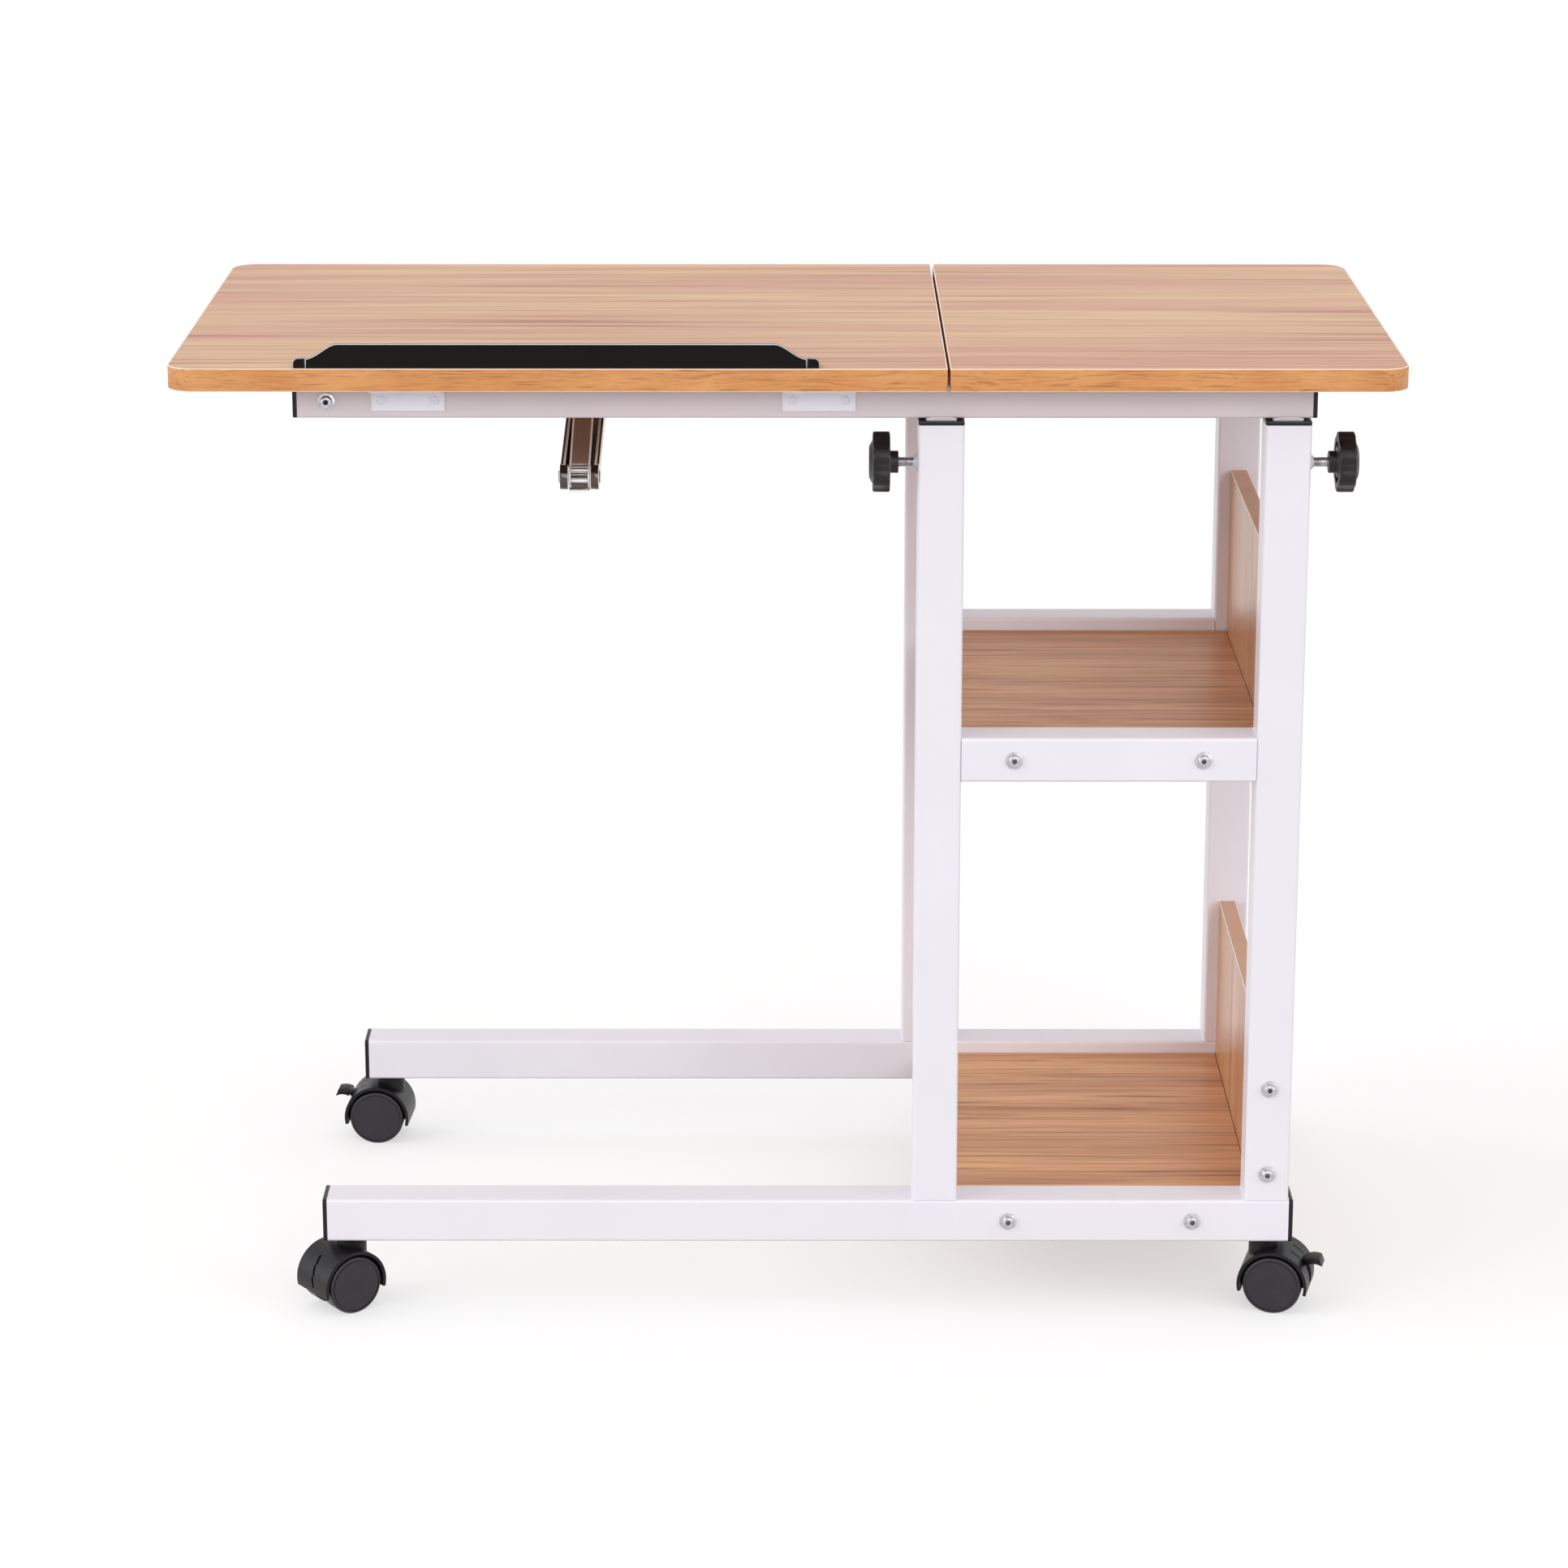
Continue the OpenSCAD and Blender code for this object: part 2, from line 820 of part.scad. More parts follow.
// Plain hood with three short slots down its trailing side
module plain_hood(c) {
    color(black_plastic)
        at_caster(c)
            difference() {
                hood_body();
                for (i = [-1 : 1]) {
                    translate([caster_trail, 0, wheel_r])
                        rotate([0, -25 - 19 * i, 0])
                            translate([hood_r, -1.1 * i, 0])
                                rotate([18, 0, 0])
                                    cube([3, 2, 7.6], center = true);
                }
            }
}

// Hood with a slot for its brake pedal, which turns on a pin across the slot
module braked_hood(c) {
    slot_w = pedal_w / 2 + 2 * swivel_gap;
    color(black_plastic)
        at_caster(c) {
            difference() {
                hood_body();
                translate([pedal_pivot[0] - 5.5, -slot_w / 2, wheel_r - 2])
                    cube([20, slot_w, 17.5]);
                for (s = sides) {
                    translate([caster_trail, s * (slot_w / 2 + 2.4), wheel_r])
                        across(1.4)
                            ring_arc(hood_r + 1, hood_r - 1.2, 2, 64);
                }
            }
            translate([pedal_pivot[0], 0, pedal_pivot[1]])
                rotate([90, 0, 0])
                    cylinder(d = pedal_pin_d, h = slot_w + 2, center = true);
        }
}

module caster_hood_front_left() {
    plain_hood(front_left_caster);
}

module caster_hood_front_right() {
    braked_hood(front_right_caster);
}

module caster_hood_rear_left() {
    braked_hood(rear_left_caster);
}

module caster_hood_rear_right() {
    plain_hood(rear_right_caster);
}

// Part of a ring between two radii and two angles
module ring_arc(r_out, r_in, a0, a1) {
    polygon(concat(
        [for (i = [0 : 16]) r_out * [cos(a0 + i * (a1 - a0) / 16), sin(a0 + i * (a1 - a0) / 16)]],
        [for (i = [16 : -1 : 0]) r_in * [cos(a0 + i * (a1 - a0) / 16), sin(a0 + i * (a1 - a0) / 16)]]));
}

// Side view of a pedal around the middle of its bend: it rises out of the slot and thins to a flat tip
module pedal_blade() {
    r_out = pedal_bend_r;
    r_in = pedal_bend_r - pedal_t;
    polygon(concat(
        [for (i = [0 : 16]) r_out * [cos(152 - i * 5), sin(152 - i * 5)]],
        [for (i = [16 : -1 : 0]) (r_in + i * pedal_taper / 16) * [cos(152 - i * 6.2), sin(152 - i * 6.2)]]));
}

// Pedal on its pin: a narrow stem in the slot, and a bent, ribbed tread outside the hood
module brake_pedal(c) {
    bend_mid = [caster_trail + hood_r + 2.5, wheel_r + 4.5];
    color(black_plastic)
        at_caster(c) {
            difference() {
                union() {
                    translate([pedal_pivot[0], 0, pedal_pivot[1]])
                        across(pedal_w / 2)
                            circle(pedal_pin_d / 2 + 2);
                    translate([bend_mid[0], 0, bend_mid[1]])
                        across(pedal_w / 2)
                            pedal_blade();
                    difference() {
                        translate([bend_mid[0], 0, bend_mid[1]])
                            across(pedal_w)
                                pedal_blade();
                        translate([caster_trail, 0, wheel_r])
                            rotate([90, 0, 0])
                                cylinder(r = hood_r + 2, h = 2 * pedal_w, center = true);
                    }
                }
                translate([pedal_pivot[0], 0, pedal_pivot[1]])
                    rotate([90, 0, 0])
                        cylinder(d = pedal_pin_d + 2 * run_fit, h = pedal_w, center = true);
            }
            for (a = [76 : 6 : 106]) {
                translate([bend_mid[0] + pedal_bend_r * cos(a), 0, bend_mid[1] + pedal_bend_r * sin(a)])
                    rotate([90, 0, 0])
                        cylinder(r = 0.4, h = pedal_w - 1, center = true, $fn = 16);
            }
        }
}

module brake_pedal_front_right() {
    brake_pedal(front_right_caster);
}

module brake_pedal_rear_left() {
    brake_pedal(rear_left_caster);
}

axle_len = hood_w - 5;

module axle(c) {
    color(zinc)
        at_caster(c)
            translate([caster_trail, 0, wheel_r])
                rotate([90, 0, 0])
                    cylinder(d = axle_d, h = axle_len, center = true);
}

module axle_front_left() {
    axle(front_left_caster);
}

module axle_front_right() {
    axle(front_right_caster);
}

module axle_rear_left() {
    axle(rear_left_caster);
}

module axle_rear_right() {
    axle(rear_right_caster);
}

// Half section of a wheel: x is the radius and y the distance from its inner side
module wheel_profile() {
    edge_r = 1.5;
    hub_r = axle_d / 2 + 3;
    difference() {
        union() {
            square([wheel_r - edge_r, wheel_w]);
            translate([0, edge_r])
                square([wheel_r, wheel_w - 2 * edge_r]);
            for (y = [edge_r, wheel_w - edge_r]) {
                translate([wheel_r - edge_r, y])
                    circle(edge_r);
            }
        }
        translate([-overcut, -overcut])
            square([overcut + axle_d / 2 + run_fit, overcut + wheel_w - 1.8]);
        translate([hub_r, -overcut])
            square([wheel_r - 4 - hub_r, overcut + wheel_w / 2]);
        translate([wheel_r - 2.8, wheel_w - 0.6])
            square([0.9, 0.6 + overcut]);
    }
}

// Wheel on one side of its caster
module wheel(c, side) {
    color(black_plastic)
        at_caster(c)
            translate([caster_trail, side * (web_t / 2 + wheel_gap), wheel_r])
                rotate([-side * 90, 0, 0])
                    rotate_extrude($fn = 72)
                        wheel_profile();
}

module wheel_front_left_a() {
    wheel(front_left_caster, -1);
}

module wheel_front_left_b() {
    wheel(front_left_caster, 1);
}

module wheel_front_right_a() {
    wheel(front_right_caster, -1);
}

module wheel_front_right_b() {
    wheel(front_right_caster, 1);
}

module wheel_rear_left_a() {
    wheel(rear_left_caster, -1);
}

module wheel_rear_left_b() {
    wheel(rear_left_caster, 1);
}

module wheel_rear_right_a() {
    wheel(rear_right_caster, -1);
}

module wheel_rear_right_b() {
    wheel(rear_right_caster, 1);
}

// Places of the screws that hold the fixed board to the rails from below
board_screw_xs = [fixed_left + board_screw_inset, frame_right - board_screw_inset];

module at_board_screws() {
    for (x = board_screw_xs) {
        for (y = sides) {
            translate([x, y * tube_y, rail_z])
                children();
        }
    }
}

// Places of the bolts that hold the cross tube, with Z into the rail
module at_cross_bolts() {
    for (s = sides) {
        translate([cross_x, s * (tube_y + rail / 2), rail_z + rail / 2])
            rotate([s * 90, 0, 0])
                children();
    }
}

hinge_xs = [top_left + hinge_first, top_left + hinge_first + hinge_gap];

// Places of the screws in the hinges' fixed leaves, with Z into the rail
module at_leaf_screws() {
    for (x = hinge_xs) {
        for (s = sides) {
            translate([x + s * leaf_screw_gap / 2, -tube_y - rail / 2 - leaf_t, board_z - leaf_h * 0.58])
                rotate([-90, 0, 0])
                    children();
        }
    }
}

// Places of the rivets in the strut's rail bracket, with Z into the rail
module at_bracket_screws() {
    for (s = sides) {
        translate([strut_mid + s * (strut_w / 2 + 6), tube_y, rail_z - strut_t])
            children();
    }
}

cross_bolt_len = rail + cross_plate_t + 3;

module rail_holes() {
    at_board_screws()
        translate([0, 0, -overcut])
            cylinder(d = wood_screw_d + 2 * bolt_fit, h = rail + 2 * overcut);
    at_cross_bolts()
        translate([0, 0, -overcut])
            cylinder(d = bolt_d + 2 * bolt_fit, h = cross_bolt_len + overcut + 0.5);
    at_leaf_screws()
        cylinder(d = wood_screw_d + 2 * bolt_fit, h = 8);
    at_bracket_screws()
        translate([0, 0, -overcut])
            cylinder(d = wood_screw_d + 2 * bolt_fit, h = 8);
}

module rail_tube(side) {
    color(white_paint)
        difference() {
            tube_along_x(rail_left, side * tube_y, rail_z + rail / 2, rail, rail_wall, rail_r, rail_len);
            rail_holes();
        }
}

module front_rail() {
    rail_tube(-1);
}

module rear_rail() {
    rail_tube(1);
}

module cross_tube() {
    length = 2 * tube_y - rail;
    color(white_paint)
        difference() {
            translate([cross_x, length / 2, rail_z + rail / 2])
                rotate([90, 0, 0])
                    union() {
                        square_tube(rail, rail_wall, rail_r, length);
                        for (z = [0, length - cross_plate_t]) {
                            translate([0, 0, z])
                                linear_extrude(cross_plate_t)
                                    square(rail - 2 * rail_wall + 0.2, center = true);
                        }
                    }
            rail_holes();
        }
}

module inner_tubes() {
    color(white_paint)
        for (p = post_places) {
            translate([p[0], p[1], rail_z - inner_len])
                square_tube(inner_tube, rail_wall, rail_r, inner_len);
        }
}

// Plastic foot on each inner tube that guides it in its post
module inner_tube_glides() {
    foot = tube - 2 * tube_wall - 2 * slide_fit;
    plug = inner_tube - 2 * rail_wall - 2 * bolt_fit;
    color(black_plastic)
        for (p = post_places) {
            translate([p[0], p[1], rail_z - inner_len - glide_h])
                linear_extrude(glide_h)
                    rounded_rectangle(foot, foot, 1.2);
            translate([p[0], p[1], rail_z - inner_len])
                linear_extrude(glide_h)
                    rounded_rectangle(plug, plug, 0.6);
        }
}

// Slotted button head below z = 0 on a shank of the given length
module wood_screw(length) {
    head = wood_screw_d * 1.7;
    difference() {
        translate([0, 0, -1.2])
            cylinder(d1 = head * 0.7, d2 = head, h = 1.2);
        for (a = [0, 90]) {
            rotate(a)
                translate([0, 0, -1.2])
                    cube([head * 0.5, 0.7, 1], center = true);
        }
    }
    cylinder(d = wood_screw_d, h = length);
}

module rail_screws() {
    color(zinc) {
        at_board_screws()
            wood_screw(rail + top_t * 0.6);
        at_leaf_screws()
            wood_screw(leaf_t + rail_wall + 2);
        at_bracket_screws()
            wood_screw(strut_t + rail_wall + 2);
        at_cross_bolts()
            frame_bolt(cross_bolt_len);
    }
}

module fixed_board() {
    color(laminate)
        difference() {
            translate([fixed_left, 0, 0])
                board_core(top_w / 2 - fixed_left, inner_corner_r, corner_r);
            at_board_screws()
                cylinder(d = wood_screw_d + 2 * bolt_fit, h = rail + top_t * 0.6 + 0.3);
        }
}

module fixed_board_edging() {
    color(edge_wood)
        translate([fixed_left, 0, 0])
            board_band(top_w / 2 - fixed_left, inner_corner_r, corner_r);
}

// Knuckle of a hinge between two X places, with its bore
module knuckle(x, x0, x1) {
    translate([x + x0, hinge_y, hinge_z])
        rotate([0, 90, 0])
            difference() {
                cylinder(d = knuckle_d, h = x1 - x0);
                translate([0, 0, -overcut])
                    cylinder(d = hinge_pin_d + 2 * run_fit, h = x1 - x0 + 2 * overcut);
            }
}

knuckle_len = leaf_w / 3;

module hinge_fixed_leaves() {
    face_y = -tube_y - rail / 2;
    color(white_paint)
        difference() {
            for (x = hinge_xs) {
                for (x0 = [-leaf_w / 2, leaf_w / 2 - knuckle_len]) {
                    knuckle(x, x0, x0 + knuckle_len);
                    translate([x + x0, face_y - leaf_t, hinge_z - knuckle_d])
                        cube([knuckle_len, leaf_t, knuckle_d]);
                }
                translate([x - leaf_w / 2, face_y - leaf_t, board_z - leaf_h])
                    cube([leaf_w, leaf_t, leaf_h - board_z + hinge_z - knuckle_d / 2 - 2 * knuckle_gap]);
            }
            for (x = hinge_xs) {
                translate([x, hinge_y, hinge_z])
                    rotate([0, 90, 0])
                        cylinder(d = hinge_pin_d + 2 * run_fit, h = leaf_w + 2 * overcut, center = true);
            }
            at_leaf_screws()
                translate([0, 0, -overcut])
                    cylinder(d = wood_screw_d + 2 * bolt_fit, h = leaf_t + 2 * overcut);
        }
}

module hinge_pins() {
    color(zinc)
        for (x = hinge_xs) {
            disc_x([x, hinge_y, hinge_z], hinge_pin_d, leaf_w + 1);
        }
}

// The hinges' moving leaves fill the board's overhang in front of the knuckles
moving_leaf_y = hinge_y - knuckle_d / 2 - knuckle_gap;
moving_leaf_d = moving_leaf_y + top_d / 2 - leaf_inset;

module at_moving_leaf_screws() {
    for (x = hinge_xs) {
        for (s = sides) {
            translate([x + s * leaf_screw_gap / 2, moving_leaf_y - moving_leaf_d / 2, board_z - leaf_t])
                children();
        }
    }
}

module hinge_moving_leaves() {
    half = knuckle_len / 2 - knuckle_gap;
    color(white_paint)
        difference() {
            for (x = hinge_xs) {
                knuckle(x, -half, half);
                translate([x - half, moving_leaf_y - overcut, board_z - leaf_t])
                    cube([2 * half, hinge_y - moving_leaf_y + overcut, leaf_t]);
                translate([x - leaf_w / 2, moving_leaf_y - moving_leaf_d, board_z - leaf_t])
                    cube([leaf_w, moving_leaf_d, leaf_t]);
            }
            for (x = hinge_xs) {
                disc_x([x, hinge_y, hinge_z], hinge_pin_d + 2 * run_fit, knuckle_len + 2 * overcut);
            }
            at_moving_leaf_screws()
                translate([0, 0, -overcut])
                    cylinder(d = wood_screw_d + 2 * bolt_fit, h = leaf_t + 2 * overcut);
        }
}

bar_mid = top_left + tilt_w / 2;
bar_screw_y = -top_d / 2 + bar_inset + bar_foot_d - 4.5;
peg_xs = [bar_mid - bar_len / 2 + 30, bar_mid + bar_len / 2 - 30];

// Places of the screws under the tilting board for the strut's bracket
module at_board_bracket_screws() {
    for (s = sides) {
        translate([strut_mid + s * (strut_inner_w / 2 + 12), board_pivot[1], board_z - strut_t])
            children();
    }
}

module at_bar_screw() {
    translate([bar_mid, bar_screw_y, board_z])
        children();
}

module tilting_board() {
    color(laminate)
        difference() {
            translate([top_left, 0, 0])
                board_core(tilt_w, corner_r, inner_corner_r);
            at_moving_leaf_screws()
                cylinder(d = wood_screw_d + 2 * bolt_fit, h = leaf_t + 8.3);
            at_board_bracket_screws()
                cylinder(d = wood_screw_d + 2 * bolt_fit, h = strut_t + 8.3);
            at_bar_screw()
                translate([0, 0, -overcut])
                    cylinder(d = wood_screw_d + 2 * bolt_fit, h = top_t + 2 * overcut);
            for (x = peg_xs) {
                translate([x, bar_screw_y, top_z - peg_len - 0.3])
                    cylinder(d = peg_d + 2 * bolt_fit, h = peg_len + overcut);
            }
        }
}

module tilting_board_edging() {
    color(edge_wood)
        translate([top_left, 0, 0])
            board_band(tilt_w, corner_r, inner_corner_r);
}

// Smooth step from 0 to 1
function ease(t) = t * t * (3 - 2 * t);

// Half outline of the bar's wall from its middle to its end, with an end of the given radius
function bar_half(end_r, bend) = concat(
    [for (i = [0 : 16]) [bar_len / 2 - bar_end_len - bar_slope * (1 - i / 16),
        bar_h - ease(i / 16 * bend + (1 - bend) * pow(i / 16, 1.6)) * (bar_h - bar_end_h)]],
    [for (i = [0 : 6]) [bar_len / 2 - end_r + end_r * sin(15 * i), bar_end_h - end_r + end_r * cos(15 * i)]],
    [[bar_len / 2, 0]]);

// Front view of the bar's wall, with its middle at x = 0 and its foot at y = 0
module bar_outline() {
    right = bar_half(2.4, 1);
    left = bar_half(5, 0.6);
    polygon(concat(right, [for (i = [len(left) - 1 : -1 : 0]) [-left[i][0], left[i][1]]]));
}

module stopper_bar() {
    front = -top_d / 2 + bar_inset;
    color(black_plastic)
        difference() {
            union() {
                translate([bar_mid, front + bar_t, top_z])
                    rotate([90, 0, 0])
                        linear_extrude(bar_t)
                            bar_outline();
                translate([bar_mid, front + bar_foot_d / 2, top_z])
                    linear_extrude(bar_foot_t)
                        rounded_rectangle(bar_len - 0.4, bar_foot_d, 3);
                translate([bar_mid, bar_screw_y, top_z])
                    cylinder(d = wood_screw_d + 5, h = bar_foot_t + 3);
                for (x = peg_xs) {
                    translate([x, bar_screw_y, top_z - peg_len])
                        cylinder(d = peg_d, h = peg_len + 0.5);
                }
            }
            at_bar_screw()
                cylinder(d = wood_screw_d + 2 * bolt_fit, h = top_t + bar_foot_t + 2);
        }
}

module tilting_board_screws() {
    dome_r = 5;
    dome_h = 2.4;
    color(edge_wood)
        at_bar_screw() {
            difference() {
                translate([0, 0, dome_r - dome_h])
                    sphere(dome_r);
                cylinder(r = 2 * dome_r, h = 3 * dome_r);
            }
            cylinder(d = wood_screw_d, h = top_t + bar_foot_t + 1.6);
        }
    color(zinc) {
        at_moving_leaf_screws()
            wood_screw(leaf_t + 8);
        at_board_bracket_screws()
            wood_screw(strut_t + 8);
    }
}

// A rivet along X through a pivot, with round heads outside the given width
module rivet(p, width) {
    disc_x(p, rivet_d, width + 2);
    for (s = sides) {
        disc_x([p[0] + s * (width / 2 + 0.9), p[1], p[2]], rivet_d + 3, 1.8);
    }
}

// Side plates and a base plate that hang a pivot below z_base
module bracket(pivot, z_base, inside, base_w, base_d) {
    ear_r = rivet_d / 2 + 2;
    difference() {
        union() {
            for (s = sides) {
                x = s > 0 ? inside / 2 : -inside / 2 - strut_t;
                translate([pivot[0] + x, pivot[1], pivot[2]])
                    rotate([90, 0, 90])
                        linear_extrude(strut_t) {
                            circle(ear_r);
                            translate([-ear_r, 0])
                                square([2 * ear_r, z_base - pivot[2]]);
                        }
            }
            translate([pivot[0] - base_w / 2, pivot[1] - base_d / 2, z_base - strut_t])
                cube([base_w, base_d, strut_t]);
        }
        disc_x(pivot, rivet_d + 2 * run_fit, inside + 4 * strut_t);
    }
}

// Ears of the rail bracket stand inside the outer arm
rail_ear_w = strut_w - 4 * strut_t - 2 * slide_fit;
board_ear_w = strut_inner_w + 2 * slide_fit;

module strut_rail_bracket() {
    color(chrome) {
        difference() {
            union() {
                bracket(rail_pivot, rail_z, rail_ear_w, rail_ear_w + 2 * strut_t, 14);
                translate([strut_mid - strut_w / 2 - 11, tube_y - 5, rail_z - strut_t])
                    cube([strut_w + 22, 10, strut_t]);
            }
            at_bracket_screws()
                translate([0, 0, -overcut])
                    cylinder(d = wood_screw_d + 2 * bolt_fit, h = strut_t + 2 * overcut);
        }
        rivet(rail_pivot, strut_w + 0.4);
    }
}

module strut_board_bracket() {
    color(chrome) {
        difference() {
            bracket(board_pivot, board_z, board_ear_w, strut_inner_w + 34, 16);
            at_board_bracket_screws()
                translate([0, 0, -overcut])
                    cylinder(d = wood_screw_d + 2 * bolt_fit, h = strut_t + 2 * overcut);
        }
        rivet(board_pivot, board_ear_w + 2 * strut_t);
    }
}

// Places something at a pivot, with X along the arm from the knee and Y up across it
module along_arm(start, pivot) {
    translate(start)
        rotate([atan2(pivot[2] - start[2], pivot[1] - start[1]), 0, 0])
            rotate([90, 0, 90])
                children();
}

function arm_length(pivot) = norm(pivot - knee);

// Side view of an arm's flange between its round ends
module flange_outline(length, low, high) {
    translate([0, low])
        square([length, high - low]);
    for (x = [0, length]) {
        translate([x, (low + high) / 2])
            circle((high - low) / 2);
    }
}

// Outer arm: a channel open above, with deep cheeks at the knee
module strut_outer_arm() {
    length = arm_length(rail_pivot);
    web_start = 30;
    web_end = 12;
    lip_end = 20;
    lip_w = 3.4;
    cheek_r = 8.5;
    cheek_w = (strut_w - strut_inner_w) / 2 - 0.4;
    color(chrome)
        along_arm(knee, rail_pivot) {
            difference() {
                union() {
                    for (s = sides) {
                        translate([0, 0, s > 0 ? strut_w / 2 - strut_t : -strut_w / 2])
                            linear_extrude(strut_t) {
                                flange_outline(length, -strut_h / 2, strut_h / 2);
                                circle(cheek_r);
                                translate([0, -cheek_r])
                                    square([12, cheek_r]);
                            }
                        translate([0, 0, s > 0 ? strut_w / 2 - cheek_w : -strut_w / 2])
                            linear_extrude(cheek_w)
                                difference() {
                                    circle(cheek_r);
                                    translate([0, -2 * cheek_r])
                                        square(4 * cheek_r);
                                }
                    }
                    translate([web_start, -strut_h / 2, -strut_w / 2])
                        cube([length - web_start - web_end, strut_t, strut_w]);
                    for (z = [-strut_w / 2, strut_w / 2 - lip_w]) {
                        translate([cheek_r - 1, strut_h / 2 - strut_t, z])
                            cube([length - cheek_r - lip_end, strut_t, lip_w]);
                    }
                }
                translate([length, 0, 0])
                    cylinder(d = rivet_d + 2 * run_fit, h = 2 * strut_w, center = true);
            }
            for (s = sides) {
                translate([0, 0, s * (strut_w / 2 + 0.5)])
                    cylinder(d = rivet_d + 4, h = 1, center = true);
            }
        }
}

// Inner arm: a channel open below, which ends in the ratchet at the knee
module strut_inner_arm() {
    length = arm_length(board_pivot);
    low = -3.4;
    high = 4.4;
    web_start = 9;
    knee_r = drum_d / 2 + 0.6;
    color(chrome)
        along_arm(knee, board_pivot)
            difference() {
                union() {
                    for (s = sides) {
                        translate([0, 0, s > 0 ? strut_inner_w / 2 - strut_t : -strut_inner_w / 2])
                            linear_extrude(strut_t) {
                                flange_outline(length, low, high);
                                circle(knee_r);
                            }
                    }
                    translate([web_start, high - strut_t, -strut_inner_w / 2])
                        cube([length - web_start - 2, strut_t, strut_inner_w]);
                }
                translate([length, 0, 0])
                    cylinder(d = rivet_d + 2 * run_fit, h = 2 * strut_w, center = true);
                cylinder(d = rivet_d + 2 * run_fit, h = 2 * strut_w, center = true);
            }
}

// Toothed ratchet drum between the inner arm's flanges, with its release tab
module strut_ratchet() {
    width = strut_inner_w - 2 * strut_t - 0.2;
    drum_r = drum_d / 2;
    tooth_r = 1;
    color(chrome)
        along_arm(knee, board_pivot) {
            translate([0, 0, -width / 2])
                linear_extrude(width) {
                    circle(drum_r - tooth_r);
                    for (i = [0 : ratchet_teeth - 1]) {
                        rotate(i * 360 / ratchet_teeth)
                            translate([drum_r - tooth_r, 0])
                                circle(tooth_r, $fn = 16);
                    }
                    rotate(-110)
                        translate([0, -strut_t / 2])
                            square([tab_reach, strut_t]);
                }
            translate([0, 0, -strut_inner_w / 2])
                linear_extrude(strut_inner_w)
                    rotate(-110) {
                        translate([drum_r + 1, -strut_t / 2])
                            square([tab_reach - drum_r - 1, strut_t]);
                        translate([tab_reach - 1, -strut_t])
                            square([1.6, 2 * strut_t]);
                    }
            cylinder(d = rivet_d, h = strut_inner_w, center = true);
        }
}

front_leg();
rear_leg();
posts();
shelf_rails();
upper_shelf();
lower_shelf();
upper_side_panel();
lower_side_panel();
leg_end_caps();
post_collars();
clamp_nuts();
frame_bolts();
caster_stems();
front_rail();
rear_rail();
cross_tube();
inner_tubes();
inner_tube_glides();
rail_end_caps();
rail_screws();
fixed_board();
fixed_board_edging();
hinge_fixed_leaves();
hinge_pins();
strut_rail_bracket();
tilting_board();
tilting_board_edging();
hinge_moving_leaves();
stopper_bar();
tilting_board_screws();
strut_board_bracket();
strut_outer_arm();
strut_inner_arm();
strut_ratchet();
knob_front_left();
knob_front_right();
knob_rear_left();
knob_rear_right();
clamp_screw_front_left();
clamp_screw_front_right();
clamp_screw_rear_left();
clamp_screw_rear_right();
caster_hood_front_left();
caster_hood_front_right();
caster_hood_rear_left();
caster_hood_rear_right();
axle_front_left();
axle_front_right();
axle_rear_left();
axle_rear_right();
wheel_front_left_a();
wheel_front_left_b();
wheel_front_right_a();
wheel_front_right_b();
wheel_rear_left_a();
wheel_rear_left_b();
wheel_rear_right_a();
wheel_rear_right_b();
brake_pedal_front_right();
brake_pedal_rear_left();
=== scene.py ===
import bpy
import bmesh
import json
import math
from mathutils import Matrix, Vector


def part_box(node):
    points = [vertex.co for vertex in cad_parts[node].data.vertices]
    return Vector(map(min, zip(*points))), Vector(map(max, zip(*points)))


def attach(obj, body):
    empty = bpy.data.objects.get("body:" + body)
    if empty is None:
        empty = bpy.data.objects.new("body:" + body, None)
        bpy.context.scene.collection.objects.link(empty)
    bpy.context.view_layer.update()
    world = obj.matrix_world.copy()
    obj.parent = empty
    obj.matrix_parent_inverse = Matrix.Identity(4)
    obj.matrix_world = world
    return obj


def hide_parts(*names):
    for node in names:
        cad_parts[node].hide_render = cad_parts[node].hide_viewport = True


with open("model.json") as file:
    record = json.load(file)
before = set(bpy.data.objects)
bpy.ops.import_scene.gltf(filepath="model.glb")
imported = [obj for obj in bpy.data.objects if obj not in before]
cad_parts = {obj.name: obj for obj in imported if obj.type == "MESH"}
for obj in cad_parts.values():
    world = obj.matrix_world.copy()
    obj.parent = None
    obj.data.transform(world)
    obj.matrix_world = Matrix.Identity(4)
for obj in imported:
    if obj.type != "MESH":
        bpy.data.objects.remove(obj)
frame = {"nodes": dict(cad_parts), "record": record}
nodes = frame["nodes"]
bodies = frame["record"]["behaviour"]["bodies"]
bodyOf = {node: body for body, members in bodies.items() for node in members}
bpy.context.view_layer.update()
print("frame loaded:", len(nodes), "nodes")


places = ("front_left", "front_right", "rear_left", "rear_right")


def mm(value):
    return value / 1000


def boxOf(node):
    return [Vector(corner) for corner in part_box(node)]


def newObject(name, data):
    made = bpy.data.objects.new(name, data)
    bpy.context.scene.collection.objects.link(made)
    return made


